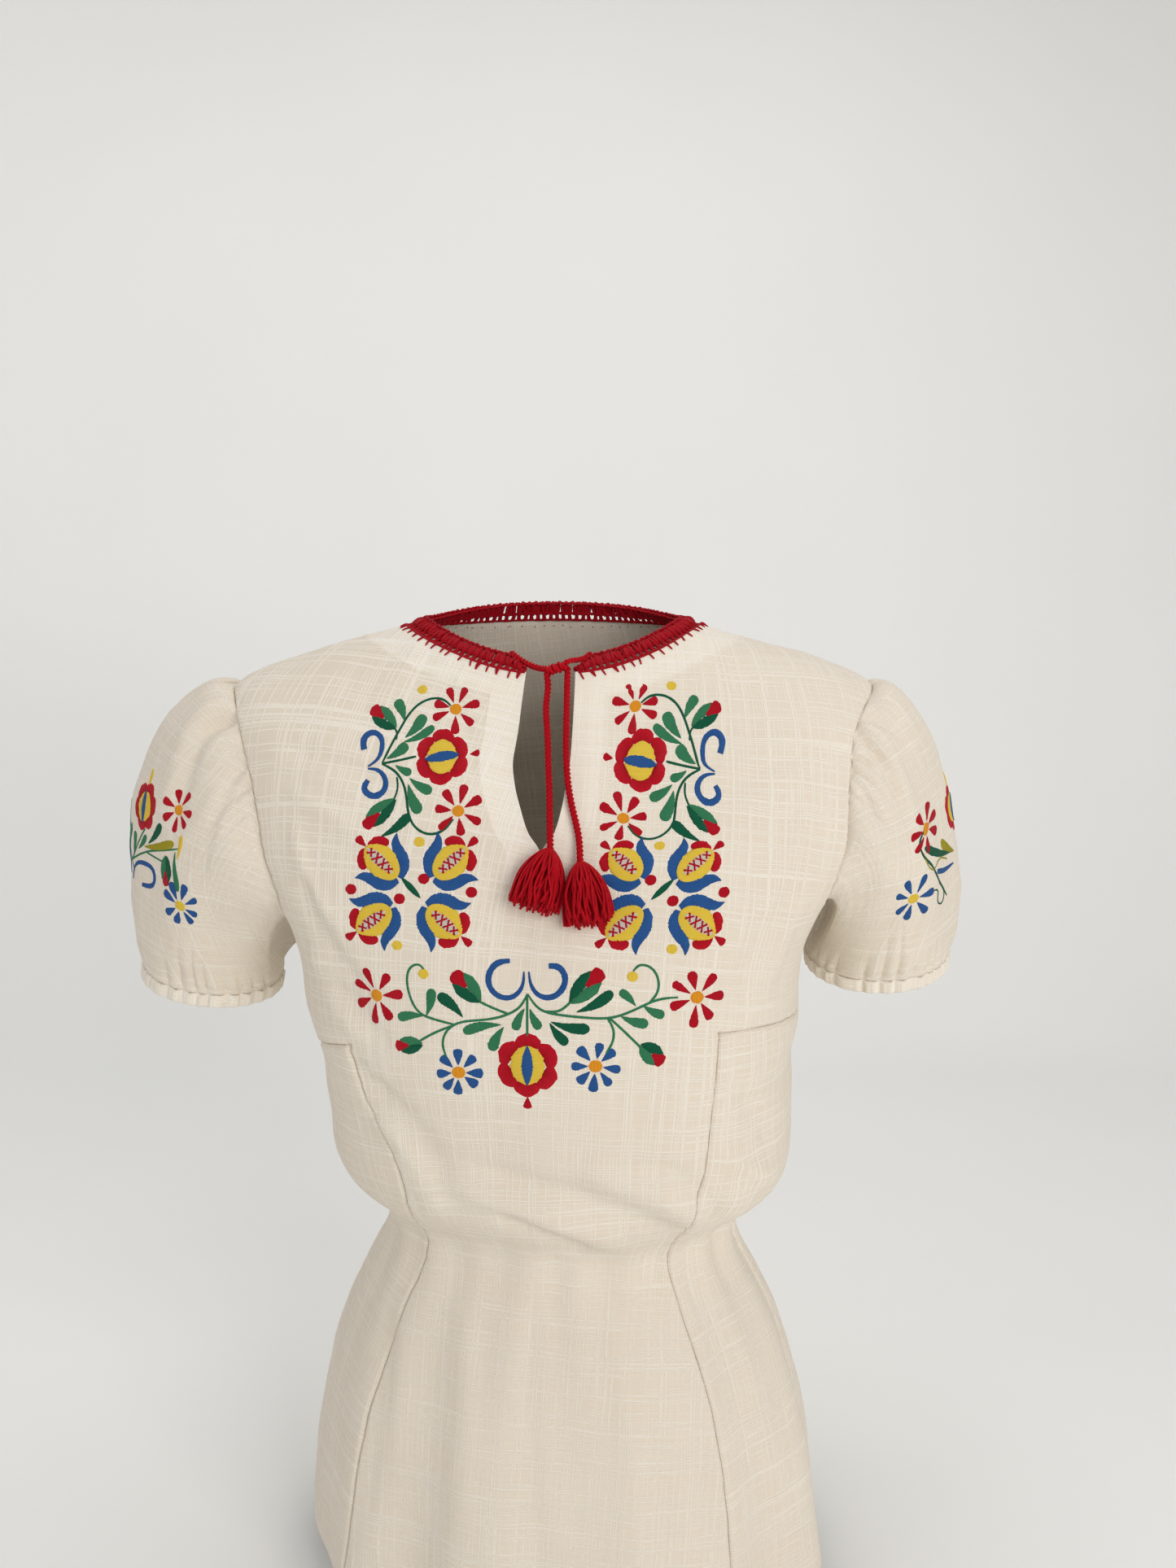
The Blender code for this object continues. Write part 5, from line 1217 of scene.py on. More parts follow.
stitch = {
    "pitch": 0.0063, "length": 0.0050, "radius": 0.00062, "uneven": 0.0007, "slant": 0.0011, "thinner": 0.22,
    "edgeRadius": 0.00060, "edgeDown": 0.0004, "edgeOut": 0.0003, "edgeStep": 0.0016, "edgeInset": 0.0005,
    "doubledNear": 0.030, "doubledSpread": 0.0009, "inset": 0.0004, "sink": 0.0001, "rise": 0.0009, "tipSink": 0.0008,
    "tipFrom": 0.88, "arch": (1.05, 0.6), "lengths": (0.82, 1.12), "edgeSwell": (0.10, 1400),
}
chance = np.random.default_rng(11)


def edgingPoint(run, height, out=0.0):
    # height is the share from the foot to the scalloped head, and out is across the edging, outwards.
    run = np.clip(run, 0, neckLength)
    foot, lean, across, width = alongNeck(run, "foot", "lean", "across", "width")
    swell = crochet["scallop"] * abs(np.sin(math.pi * run / crochet["pitch"]))
    height, out = np.broadcast_to(height, run.shape), np.broadcast_to(out, run.shape)
    reach = (width + swell * height * smooth(width / crochet["fullWidth"])) * height
    return foot + reach[..., None] * lean + out[..., None] * across


def crochetRows(batch):  # the two rows of beads along the foot and over the posts
    line = np.arange(crochet["rowInset"], neckLength - crochet["rowInset"], crochet["rowStep"])
    wobble = crochet["wobble"] * np.sin(line * math.pi / crochet["rowStep"])
    swell, often = crochet["footSwell"]
    size = crochet["footRadius"] * (1 + swell * np.sin(line * often))
    batch.tube(tubeGrid(edgingPoint(line, crochet["footHeight"], wobble), size, crochet["sides"]))
    size = crochet["beadRadius"] * (1 + crochet["beadSwell"] * np.sin(line * 4 * math.pi / crochet["pitch"]))
    batch.tube(tubeGrid(edgingPoint(line, crochet["beadHeight"], -wobble), size, crochet["sides"]))


def crochetPost(batch, middle, drift, slim):  # a post is two threads that lean together
    share = np.linspace(0, 1, 5)
    radius = crochet["postRadius"] * slim * (1 - crochet["postWaist"] * np.sin(math.pi * share))
    for half in (-1, 1):
        run = middle + drift * share + half * (crochet["postFoot"] - crochet["postLean"] * share)
        out = half * crochet["postOut"] * (1 - 2 * share)
        batch.tube(tubeGrid(edgingPoint(run, crochet["postTop"] * share, out), radius))


def crochetFan(batch, number, middle, slim):  # three plump threads that spread from a post's head
    share = np.linspace(0, 1, 7)
    foot = crochet["postTop"] - crochet["fanSink"]
    (near, wider), (least, plump), (early, late) = [crochet[name] for name in ("fanOpen", "fanSwell", "fanPlump")]
    radius = crochet["fanRadius"] * slim * (least + plump * np.sin(math.pi * (early + late * share)))
    for fan in crochet["fan"]:
        lean = crochet["fanLean"] * math.sin(2.9 * number + 1.3 * fan)
        run = middle + crochet["pitch"] * (fan * (near + wider * share) + lean * (share - crochet["leanFrom"]))
        height = (foot + (crochet["fanTop"] - foot) * share) * (1 - crochet["outerDrop"] * abs(fan) * share)
        bulge = crochet["fanBulge"][0] + crochet["fanBulge"][1] * math.sin(1.9 * number + 4 * fan)
        out = bulge * np.sin(math.pi * share) * (1 - abs(fan))
        out = out + crochet["fanOut"] * math.sin(2.3 * number + 5 * fan)
        batch.tube(tubeGrid(edgingPoint(run, height, out), radius, crochet["sides"]))


def crochetLink(batch, number, start):  # one link of the chain along the top: two leaning loops
    share = np.linspace(0, 1, 6)
    arch = np.sin(math.pi * share)
    run = np.clip(start + share * crochet["linkLength"] * crochet["linkPitch"], 0, neckLength)
    full = 0.5 + 0.5 * smooth(alongNeck(run, "width")[0] / crochet["fullWidth"])
    height = crochet["linkHeight"] + crochet["linkRise"] * arch + crochet["linkUneven"] * math.sin(1.7 * number)
    (least, more), (thin, plump) = crochet["linkOpen"], crochet["linkSwell"]
    for half in (-1, 1):
        out = half * crochet["linkReach"] * (least + more * arch) * full
        batch.tube(tubeGrid(edgingPoint(run, height, out), crochet["linkRadius"] * (thin + plump * arch)))


def buildCrochet():
    # Posts at an even pitch, each with a fan that is pushed a little to and fro, and a chain of links on top.
    batch = Batch()
    crochetRows(batch)
    inner = neckLength - 2 * crochet["endInset"]
    count = int(round(inner / crochet["pitch"]))
    for number in range(count):
        middle = crochet["endInset"] + (number + 0.5) * inner / count
        full = alongNeck(np.array([middle]), "width")[0][0] / edging["width"]
        slim = crochet["slimmest"] + (1 - crochet["slimmest"]) * full
        drift, push = chance.normal(0, crochet["uneven"], 2)
        crochetPost(batch, middle, drift, slim)
        crochetFan(batch, number, middle + push, slim)
    links = int(round(neckLength / crochet["linkPitch"]))
    for number in range(links):
        crochetLink(batch, number, (number + crochet["linkStart"]) * neckLength / links)
    batch.piece("neckEdging", thread["crochetRed"], slot="red_thread", replaces=("neck_band",))


def neckCloth(run, down):  # a place on the cloth so far below the neckline
    angle = np.interp(run, neck["run"], neck["angle"])
    level = down / (np.linalg.norm(body(tiny, angle) - body(0.0, angle), axis=-1) / tiny)
    base = body(level, angle)
    normal = normalOf(body, np.maximum(level, 0.002), angle)
    return base + (bodyLift(base) + hemLift(base))[..., None] * normal, normal


def buildNeckStitches():
    # Prongs that come over the edge of the cloth, joined by a thread along it.
    batch = Batch()
    line = np.arange(stitch["edgeInset"], neckLength - stitch["edgeInset"], stitch["edgeStep"])
    points, normal = neckCloth(line, np.full(line.shape, stitch["edgeDown"]))
    swell, often = stitch["edgeSwell"]
    radius = stitch["edgeRadius"] * (1 + swell * np.sin(often * line))
    batch.tube(tubeGrid(points + stitch["edgeOut"] * normal, radius))
    count = int(round(neckLength / stitch["pitch"]))
    share = np.linspace(0, 1, 9)
    sooner, plump = stitch["arch"]
    rise = stitch["rise"] * np.sin(math.pi * np.clip(share * sooner, 0, 1)) ** plump - stitch["sink"]
    rise = rise - stitch["tipSink"] * smooth((share - stitch["tipFrom"]) / (1 - stitch["tipFrom"]))
    for number in range(count):
        run = (number + 0.5) * neckLength / count + chance.normal(0, stitch["uneven"])
        length = stitch["length"] * chance.uniform(*stitch["lengths"])
        slant = chance.normal(0, stitch["slant"])
        twice = min(run, neckLength - run) < stitch["doubledNear"] and number % 2 == 0
        for spread in ((-stitch["doubledSpread"], stitch["doubledSpread"]) if twice else (0.0,)):
            at = run + slant * share + spread * (1 - share)
            points, normal = neckCloth(np.clip(at, stitch["inset"], neckLength - stitch["inset"]), length * share)
            radius = stitch["radius"] * (1 - stitch["thinner"] * share)
            batch.tube(tubeGrid(points + rise[:, None] * normal, radius))
    batch.piece("neckStitches", thread["crochetRed"], slot="red_thread")


buildCrochet()
buildNeckStitches()
print("edging made")

# The tassels.
tassel = {
    "strands": 190, "radius": 0.00064, "length": 0.0290, "sides": 5, "rings": 12, "crowding": 1.15, "rounding": 1.9,
    "flatten": 0.36, "wave": 0.0016, "uneven": 0.125, "tuckIn": 0.05, "shorter": 0.13, "core": 0.0010,
    "headTop": 0.0053, "headFoot": -0.0040, "headRadius": 0.0046, "headThread": 0.0006, "headRidges": 20,
    "headRings": 14, "headSides": 60, "goldenTurn": 2.39996, "innermost": 0.25, "turnSpread": 0.05,
    "reachSpread": (0.92, 1.05), "roundingSpread": 0.15, "outPower": 0.92, "tuckFrom": 0.62, "bendSpread": 0.27,
    "waveTurns": (5, 10), "fallPower": 1.30, "radiusSpread": (0.85, 1.12), "waist": 0.10, "tip": (0.22, 0.8),
    "headPower": 2.4, "ridge": (0.97, 0.055),
}


def tasselStrand(number, spread, draw):
    # Sunflower turns; each thread falls over the head's shoulder and down, thinner in the middle than at its tip.
    share = np.linspace(0, 1, tassel["rings"]) ** tassel["crowding"]
    rank = tassel["innermost"] + (1 - tassel["innermost"]) * ((number + 0.5) / tassel["strands"]) ** 0.5
    turn = number * tassel["goldenTurn"] + draw.normal(0, tassel["turnSpread"])
    reach = spread * rank * draw.uniform(*tassel["reachSpread"])
    length = tassel["length"] * (1 - tassel["shorter"] * rank**3) * (1 + draw.uniform(-1, 1) * tassel["uneven"])
    rounding = tassel["rounding"] + draw.normal(0, tassel["roundingSpread"])
    out = reach * (1 - (1 - share) ** rounding) ** tassel["outPower"]
    tucked = tassel["tuckIn"] * rank * smooth((share - tassel["tuckFrom"]) / (1 - tassel["tuckFrom"]))
    out = tassel["core"] * (1 - share) + out * (1 - tucked)
    bend = turn + draw.normal(0, tassel["bendSpread"]) * share
    wave = tassel["wave"] * np.sin(share * draw.uniform(*tassel["waveTurns"]) + draw.uniform(0, 6)) * share
    x = out * np.cos(bend) + wave * np.sin(turn)
    y = out * np.sin(bend) - wave * np.cos(turn)
    z = tasselTop * rank - (tasselTop * rank + length) * share ** tassel["fallPower"]
    more, last = tassel["tip"]
    radius = tassel["radius"] * draw.uniform(*tassel["radiusSpread"])
    radius = radius * (1 - tassel["waist"] * share + more * smooth((share - last) / (1 - last)))
    return np.stack([x, np.where(y > 0, y * tassel["flatten"], y), z], -1), radius


def tasselHead():  # a ridged ball, flat underneath
    heights = np.linspace(tassel["headTop"], tassel["headFoot"], tassel["headRings"])[:, None]
    fallen = (tassel["headTop"] - heights) / (tassel["headTop"] - tassel["headFoot"])
    size = tassel["headRadius"] * np.sqrt(1 - (1 - fallen) ** tassel["headPower"]) + tassel["headThread"]
    around = 2 * math.pi * np.arange(tassel["headSides"]) / tassel["headSides"]
    size = size * (tassel["ridge"][0] + tassel["ridge"][1] * abs(np.cos(0.5 * tassel["headRidges"] * around)))
    return np.stack(np.broadcast_arrays(size * np.cos(around), size * np.sin(around), heights), -1)[:, ::-1]


def buildTassel(side):  # threads and head in their own axes, then turned to the way that the tassel hangs
    middle, way, spread, seed = tassels[side]
    up = -unit(np.array(way))
    across = unit(np.cross(np.array([0.0, 1.0, 0.0]), up))
    inward = np.cross(up, across)
    place = lambda local: np.array(middle) + local @ np.stack([across, inward, up])
    batch = Batch()
    draw = np.random.default_rng(seed)
    for number in range(tassel["strands"]):
        path, radius = tasselStrand(number, spread, draw)
        batch.tube(tubeGrid(place(path), radius, tassel["sides"], up=inward))
    batch.tube(place(tasselHead()))
    return batch.piece("tassel" + side.title(), thread["tieRed"], slot="red_thread", replaces=("tassel_" + side,))


for side in sides:
    tasselPiece = buildTassel(side)
    end, path = tieEnds[side]
    length = float(runAlong(path)[-1])
    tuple(path[0])
    print("tie end", side, round(length, 4))
print("tassels made")

# The embroidery: satin shapes drawn on a chart in millimetres, across and up, then laid on the cloth.
satinWork = {
    "station": 0.60, "height": 0.60, "stemHeight": 0.46, "sink": 0.15, "uneven": 0.045, "ribs": 0.06,
    "section": (-1.0, -0.86, -0.5, 0.0, 0.5, 0.86, 1.0), "dome": 4.0, "baseDome": 6, "slimBelow": 0.9,
    "tipWidth": 0.14, "vein": 0.30, "darkVein": 0.40, "veinWidth": 0.2,
}
flower = {
    "petal": (1.42, 0.90), "leaf": (1.45, 0.80), "leafBow": 0.06, "roundEnd": 5, "lens": 0.85, "stemWidth": 0.78,
    "thinStem": 0.66, "stemEnds": (0.75, 0.1), "daisyPetal": 5.4, "daisyHeart": 3.4, "heartGap": 0.2,
    "turnSpread": 4, "reachSpread": (0.92, 1.06), "widthSpread": (0.9, 1.1), "lobeDip": (0.46, 2.2),
    "lobeEnds": (0.85, 12), "ballHeight": 0.80, "ballBase": 0.15, "eyeHeight": 0.45, "eyeBase": 0.95,
    "crossHeight": 0.38, "crossBase": 1.22, "crossWidth": 0.74, "hookHeight": 0.60, "budHeight": 0.64,
}
pomegranateParts = {  # sizes in millimetres from the middle
    "lobes": 6, "lobeSpread": 2, "lobe": (30.0, 7.6, 16.0), "ball": (9.6, 9.2), "eye": (9.8, 3.6),
    "drop": (15.6, 22.0, 4.6),
}
tulipParts = {
    "sepal": ((-12.8, 0.9), (-11.0, 5.4), (-6.4, 9.4), (-1.2, 11.2), (2.6, 13.2), (5.6, 17.4)),
    "sepalWidths": (1.6, 3.1, 3.9, 3.9, 3.3, 2.3, 0.2), "sepalHeight": 0.60, "lobeTurn": 34,
    "lobe": (29.0, 8.4, 15.2), "ball": ((0.6, 0), 11.8, 9.4), "eye": ((-8.2, 0), (11.4, 0)), "eyeWidth": 4.3,
    "eyeHeight": 0.30, "crosses": ((-5.0, 1.8), (-0.7, 2.7), (3.7, 2.7), (8.0, 1.8)), "crossReach": 1.6,
    "drop": ((12.6, 0.0), (20.2, 0.0)), "dropWidth": 5.2,
}
budParts = {  # shares of the length from the root, and of the width
    "tipFrom": 0.50, "tipWidth": 0.34, "tipEnds": (0.9, 8), "leafWidths": (0.19, 0.26, 0.25),
    "leaf": ((0, 0.04), (0.28, 0.20), (0.56, 0.27), (0.80, 0.34)), "leafEnds": (0.5, 0.2), "base": 0.1,
}
needle = np.random.default_rng(23)
chart = {name: [] for name in threads}  # the shapes drawn so far, by thread colour


def satin(colour, path, halfWidth, height=satinWork["height"], vein=0.0, base=0.0):
    # Stitches laid across a path: a domed section as wide as the shape, its rim sunk into the cloth.
    path = np.asarray(path, float)
    along = unit(np.gradient(path, axis=0))
    side = np.stack([along[:, 1], -along[:, 0]], -1)
    count = len(path)
    width = np.maximum(np.broadcast_to(halfWidth, (count,)), satinWork["tipWidth"])
    width = width * (1 + satinWork["uneven"] * needle.standard_normal(count))
    t = np.array(satinWork["section"])[None, :]
    rib = 1 + satinWork["ribs"] * np.where(np.arange(count) % 2 == 0, 1, -1)[:, None]
    slim = smooth(width / (satinWork["slimBelow"] * height))[:, None]
    dome = (1 - abs(t) ** satinWork["dome"]) * (1 - vein * bell(t / satinWork["veinWidth"]))
    rise = base * (1 - abs(t) ** satinWork["baseDome"]) + height * slim * rib * dome - satinWork["sink"]
    flat = path[:, None] + (t * width[:, None])[..., None] * side[:, None]
    chart[colour].append(np.concatenate([flat, rise[..., None]], -1))


def turned(points, degrees, centre=(0, 0), mirror=False):  # local points turned, then moved to the centre
    points = np.asarray(points, float) * np.array([1.0, -1.0 if mirror else 1.0])
    c, s = math.cos(math.radians(degrees)), math.sin(math.radians(degrees))
    return points @ np.array([[c, s], [-s, c]]) + np.array(centre)


def wayTo(turn):  # one step in the direction of a turn in radians, or of many
    return np.stack([np.cos(turn), np.sin(turn)], -1)


def straight(start, end):  # a straight line cut at even steps, and the share along it
    start, end = np.array(start), np.array(end)
    share = np.linspace(0, 1, max(5, int(math.dist(start, end) / satinWork["station"]) + 1))
    return start + share[:, None] * (end - start), share


def petal(colour, start, end, width):  # narrow at its root and round at its end
    path, share = straight(start, end)
    full, power = flower["petal"]
    satin(colour, path, 0.5 * width * full * share**power * np.sqrt(1 - share ** flower["roundEnd"]))


def daisy(colour, heart, centre, radius, petals, first, width=flower["daisyPetal"],
          heartRadius=flower["daisyHeart"]):
    # Petals at even turns, each a little off in turn, length and width, round a heart.
    centre = np.array(centre, float)
    for number in range(petals):
        way = wayTo(math.radians(first + 360 * number / petals + needle.normal(0, flower["turnSpread"])))
        reach = radius * needle.uniform(*flower["reachSpread"])
        petal(colour, centre + (heartRadius + flower["heartGap"]) * way, centre + reach * way,
              width * needle.uniform(*flower["widthSpread"]))
    disc(heart, centre, heartRadius)


def disc(colour, centre, radius, across=None, degrees=0.0, height=satinWork["height"], base=0.0):
    # An ellipse: places along it by the cosine of a turn, widths by its sine.
    turn = np.linspace(0, math.pi, max(9, int(2 * radius / satinWork["station"]) + 1))
    path = np.stack([-radius * np.cos(turn), np.zeros(len(turn))], -1)
    satin(colour, turned(path, degrees, centre), (across or radius) * np.sin(turn), height, base=base)


def lens(colour, start, end, halfWidth, height=satinWork["height"], base=0.0):  # pointed at both ends
    path, share = straight(start, end)
    satin(colour, path, halfWidth * (4 * share * (1 - share)) ** flower["lens"], height, base=base)


def leaf(colour, tip, end, width, vein=satinWork["vein"]):  # pointed at its tip, roundest at two thirds
    path, share = straight(tip, end)
    bow = flower["leafBow"] * math.dist(tip, end) * np.sin(math.pi * share)
    side = np.array([end[1] - tip[1], tip[0] - end[0]]) / math.dist(tip, end)
    full, power = flower["leaf"]
    profile = full * share**power * np.sqrt(1 - share ** flower["roundEnd"])
    satin(colour, path + bow[:, None] * side, 0.5 * width * profile, vein=vein)


def stem(points, colour="lightGreen", width=flower["stemWidth"]):  # thinner towards both ends
    path = lineThrough(points, satinWork["station"] * 1.35)
    share = np.linspace(0, 1, len(path))
    thin, reach = flower["stemEnds"]
    ends = smooth(share / reach) * smooth((1 - share) / reach)
    satin(colour, path, width * (thin + (1 - thin) * ends), satinWork["stemHeight"])


def swept(colour, points, widths, height, base=0.0):  # a curve whose half width runs through the given values
    path = lineThrough(points, satinWork["station"])
    width = np.interp(np.linspace(0, 1, len(path)), np.linspace(0, 1, len(widths)), widths)
    satin(colour, path, width, height, base=base)


def hook(points, widths):  # a blue curl
    swept("blue", points, widths, flower["hookHeight"])


def scallop(centre, middle, span, inner, outer):  # one red lobe that hugs a ball, widest at its middle
    share = np.linspace(-1, 1, max(9, int(2 * math.radians(span) * inner / satinWork["station"])))
    (dip, dipPower), (close, closePower) = flower["lobeDip"], flower["lobeEnds"]
    edge = inner + (outer - inner) * (1 - dip * abs(share) ** dipPower)
    path = centre + (0.5 * (edge + inner))[:, None] * wayTo(np.radians(middle + span * share))
    satin("red", path, 0.5 * (edge - inner) * np.sqrt(1 - close * abs(share) ** closePower))


def pomegranate(centre, size, eyeTurn, drop=None):
    # Six red scallops round a yellow ball with a blue eye, and one red drop outside.
    centre = np.array(centre, float)
    parts = pomegranateParts
    span, inner, outer = parts["lobe"]
    for number in range(parts["lobes"]):
        middle = 90 + 360 / parts["lobes"] * number + needle.normal(0, parts["lobeSpread"])
        scallop(centre, middle, span, inner * size, outer * size)
    along, across = parts["ball"]
    disc("yellow", centre, along * size, across * size, 90.0, flower["ballHeight"], flower["ballBase"])
    reach, halfWidth = parts["eye"]
    far = reach * size * wayTo(math.radians(eyeTurn))
    lens("blue", centre - far, centre + far, halfWidth * size, flower["eyeHeight"], flower["eyeBase"])
    if drop is not None:
        way = size * unit(np.array(drop, float))
        start, end, width = parts["drop"]
        petal("red", centre + start * way, centre + end * way, width * size)


def tulip(centre, degrees):
    # A yellow ball in two blue sepals that flare at their tips, with a white eye crossed in red.
    centre = np.array(centre, float)
    parts = tulipParts
    for way in (1, -1):
        sepal = turned(parts["sepal"], degrees, centre, way < 0)
        swept("blue", sepal, parts["sepalWidths"], parts["sepalHeight"])
        scallop(centre, degrees + way * parts["lobeTurn"], *parts["lobe"])
    put = lambda *points: turned(points, degrees, centre)
    middle, along, across = parts["ball"]
    disc("yellow", put(middle)[0], along, across, degrees, flower["ballHeight"], flower["ballBase"])
    lens("white", *put(*parts["eye"]), parts["eyeWidth"], parts["eyeHeight"], flower["eyeBase"])
    reach = parts["crossReach"]
    for place, size in parts["crosses"]:
        for slope in (-1, 1):
            line = straight(*put((place - reach, -slope * size), (place + reach, slope * size)))[0]
            satin("red", line, flower["crossWidth"], flower["crossHeight"], base=flower["crossBase"])
    petal("red", *put(*parts["drop"]), parts["dropWidth"])


def bud(tip, root, width):
    # A red tip, full width with its ends a little rounded, that stands out of two green halves.
    tip, root = np.array(tip, float), np.array(root, float)
    length = math.dist(tip, root)
    degrees = math.degrees(math.atan2(tip[1] - root[1], tip[0] - root[0]))
    parts = budParts
    path, share = straight(*turned(((parts["tipFrom"] * length, 0), (length, 0)), degrees, root))
    close, power = parts["tipEnds"]
    satin("red", path, parts["tipWidth"] * width * (1 - close * (2 * share - 1) ** power))
    first, last = parts["leafEnds"]
    widths = (first, *(share * width for share in parts["leafWidths"]), last)
    for colour, way in (("green", width), ("lightGreen", -width)):
        half = turned(np.array(parts["leaf"]) * (length, way), degrees, root)
        swept(colour, half, widths, flower["budHeight"], base=parts["base"])


def column():  # the left column of flowers, from the shoulder down, placed shape by shape
    disc("yellow", (-75.5, -40.4), 2.9)
    daisy("red", "orange", (-55.1, -51.6), 14.0, 7, 64.0)
    pomegranate((-61.5, -78.5), 1.0, 9.0, (1, 0.12))
    daisy("red", "orange", (-50.9, -108.0), 14.2, 7, 76.0)
    for points in (
            ((-95.6, -82.0), (-91.2, -72.0), (-85.6, -60.5), (-79.0, -50.5), (-70.0, -45.8), (-61.5, -47.0),
             (-58.2, -49.8)),
            ((-95.6, -82.2), (-86.0, -80.4), (-76.4, -78.2)),
            ((-95.6, -82.4), (-87.6, -86.8), (-82.4, -94.0), (-80.0, -104.0), (-76.4, -115.0), (-67.5, -120.4),
             (-59.2, -118.4), (-53.6, -112.4))):
        stem(points, "green")
    for points in (
            ((-88.6, -68.8), (-88.6, -64.6), (-90.6, -61.8)), ((-86.6, -89.6), (-86.0, -95.0), (-88.0, -101.6))):
        stem(points, "green", flower["thinStem"])
    for tip, end, width in (
            ((-84.6, -58.2), (-90.4, -46.4), 6.6), ((-83.6, -67.8), (-73.0, -54.8), 7.2),
            ((-84.6, -70.4), (-67.0, -61.4), 5.4), ((-93.4, -79.6), (-81.8, -71.2), 6.6),
            ((-88.0, -83.0), (-78.2, -87.6), 5.0), ((-79.4, -90.2), (-66.0, -97.6), 6.0),
            ((-79.8, -93.4), (-72.4, -109.2), 7.0)):
        leaf("lightGreen", tip, end, width)
    leaf("green", (-95.0, -122.4), (-78.2, -109.8), 6.2, 0.45)
    bud((-104.6, -50.8), (-89.4, -62.4), 11.4)
    bud((-104.4, -117.4), (-87.2, -101.4), 11.0)
    hook(((-106.6, -74.6), (-106.9, -68.0), (-102.6, -65.0), (-97.6, -67.6), (-96.4, -73.0), (-98.6, -79.8),
          (-103.8, -83.6)), (2.0, 2.0, 1.7, 1.6, 1.5, 1.0, 0.5))
    hook(((-103.8, -84.8), (-97.4, -86.0), (-93.2, -92.4), (-95.4, -98.0), (-100.4, -99.8), (-105.2, -95.8),
          (-103.6, -91.0)), (0.5, 1.2, 1.7, 1.9, 2.0, 2.0, 1.5))
    for centre, degrees in (
            ((-93.1, -136.6), 137.0), ((-54.9, -135.9), 42.0), ((-97.4, -167.8), 216.0), ((-58.2, -167.4), -39.0)):
        tulip(centre, degrees)
    for colour, centre, radius in (
            ("yellow", (-72.4, -124.8), 3.0), ("yellow", (-84.4, -181.6), 3.0), ("red", (-111.2, -151.8), 3.2),
            ("red", (-69.6, -144.8), 3.2), ("red", (-83.2, -156.0), 3.2), ("red", (-42.8, -151.6), 3.2)):
        disc(colour, centre, radius)
    lens("green", (-82.6, -144.2), (-71.0, -155.4), 1.9)


def lowerBand():  # the spray across, from its own middle line out to both sides
    for colour, centre, radius, petals, first in (
            ("red", (-97.6, -211.0), 16.0, 7, 57.0), ("red", (81.2, -208.2), 16.0, 7, 100.0),
            ("blue", (-49.4, -249.6), 13.4, 8, 95.0), ("blue", (25.6, -243.6), 13.8, 8, 80.0)):
        daisy(colour, "orange", centre, radius, petals, first, 5.8, 3.7)
    disc("yellow", (-69.2, -196.4), 3.0)
    disc("yellow", (45.8, -195.9), 3.0)
    for points in (
            ((-11.6, -205.4), (-15.5, -212.1), (-21.2, -216.0), (-34.9, -219.9), (-44.7, -221.1), (-51.9, -223.4),
             (-56.8, -228.4), (-58.2, -234.8), (-56.2, -241.4)),
            ((-51.9, -223.2), (-63.2, -220.9), (-71.8, -217.6), (-77.2, -209.3), (-78.8, -199.6), (-76.2, -193.0),
             (-71.8, -191.6), (-69.0, -193.8)),
            ((-22.0, -216.3), (-30.7, -213.3), (-39.6, -209.4)), ((-52.6, -223.8), (-63.2, -228.6), (-72.0, -234.0)),
            ((-11.4, -205.4), (-4.8, -213.1), (5.5, -216.0), (20.0, -217.4), (33.5, -217.6), (48.9, -212.6),
             (60.0, -208.4), (70.6, -207.6)),
            ((54.0, -210.6), (59.2, -204.4), (59.8, -198.0), (55.3, -191.0), (49.2, -190.2), (46.2, -193.0)),
            ((-2.0, -214.4), (5.5, -214.0), (12.4, -208.8)), ((33.0, -217.6), (38.6, -222.6), (51.0, -234.6)),
            ((32.0, -217.8), (35.2, -224.0), (34.8, -230.4), (31.4, -236.4)), ((-11.6, -206.4), (-11.6, -228.6))):
        stem(points)
    for colour, tip, end, width in (
            ("green", (-46.9, -219.2), (-61.2, -207.4), 7.0), ("lightGreen", (-67.6, -219.4), (-64.8, -204.2), 6.2),
            ("lightGreen", (-69.2, -219.6), (-84.2, -221.9), 6.0),
            ("lightGreen", (-25.6, -222.4), (-47.0, -227.2), 6.2),
            ("lightGreen", (-24.4, -223.4), (-31.4, -237.0), 6.4),
            ("lightGreen", (-12.9, -213.0), (-18.3, -225.2), 5.6),
            ("lightGreen", (-10.2, -213.0), (-4.4, -224.0), 5.6),
            ("green", (15.0, -214.6), (35.0, -203.8), 6.6), ("lightGreen", (39.0, -216.8), (54.4, -221.2), 6.0),
            ("lightGreen", (51.4, -211.4), (63.2, -217.0), 5.6), ("lightGreen", (47.6, -211.8), (38.6, -203.4), 5.2),
            ("green", (1.0, -219.8), (22.6, -223.4), 6.4), ("green", (0.6, -220.4), (10.6, -231.6), 6.0)):
        leaf(colour, tip, end, width, satinWork["darkVein" if colour == "green" else "vein"])
    for tip, root, width in (((-52.8, -195.0), (-37.6, -210.2), 13.0), ((-85.6, -237.8), (-70.0, -235.4), 10.0),
                             ((29.4, -192.6), (12.0, -209.4), 13.0), ((62.4, -242.4), (50.0, -232.4), 11.6)):
        bud(tip, root, width)
    hook(((-21.2, -188.0), (-28.0, -189.4), (-32.6, -195.2), (-32.4, -201.6), (-27.4, -206.8), (-20.0, -207.2),
          (-14.8, -202.2), (-13.6, -193.6)), (1.3, 1.9, 1.9, 1.7, 1.6, 1.5, 1.1, 0.5))
    hook(((0.2, -190.4), (5.4, -191.0), (9.0, -196.2), (7.4, -202.6), (1.6, -206.8), (-5.0, -206.0), (-9.4, -200.8),
          (-10.8, -193.6)), (1.6, 1.9, 1.8, 1.8, 1.7, 1.4, 1.0, 0.5))
    pomegranate((-11.5, -244.0), 1.12, 90.0, (0, -1))


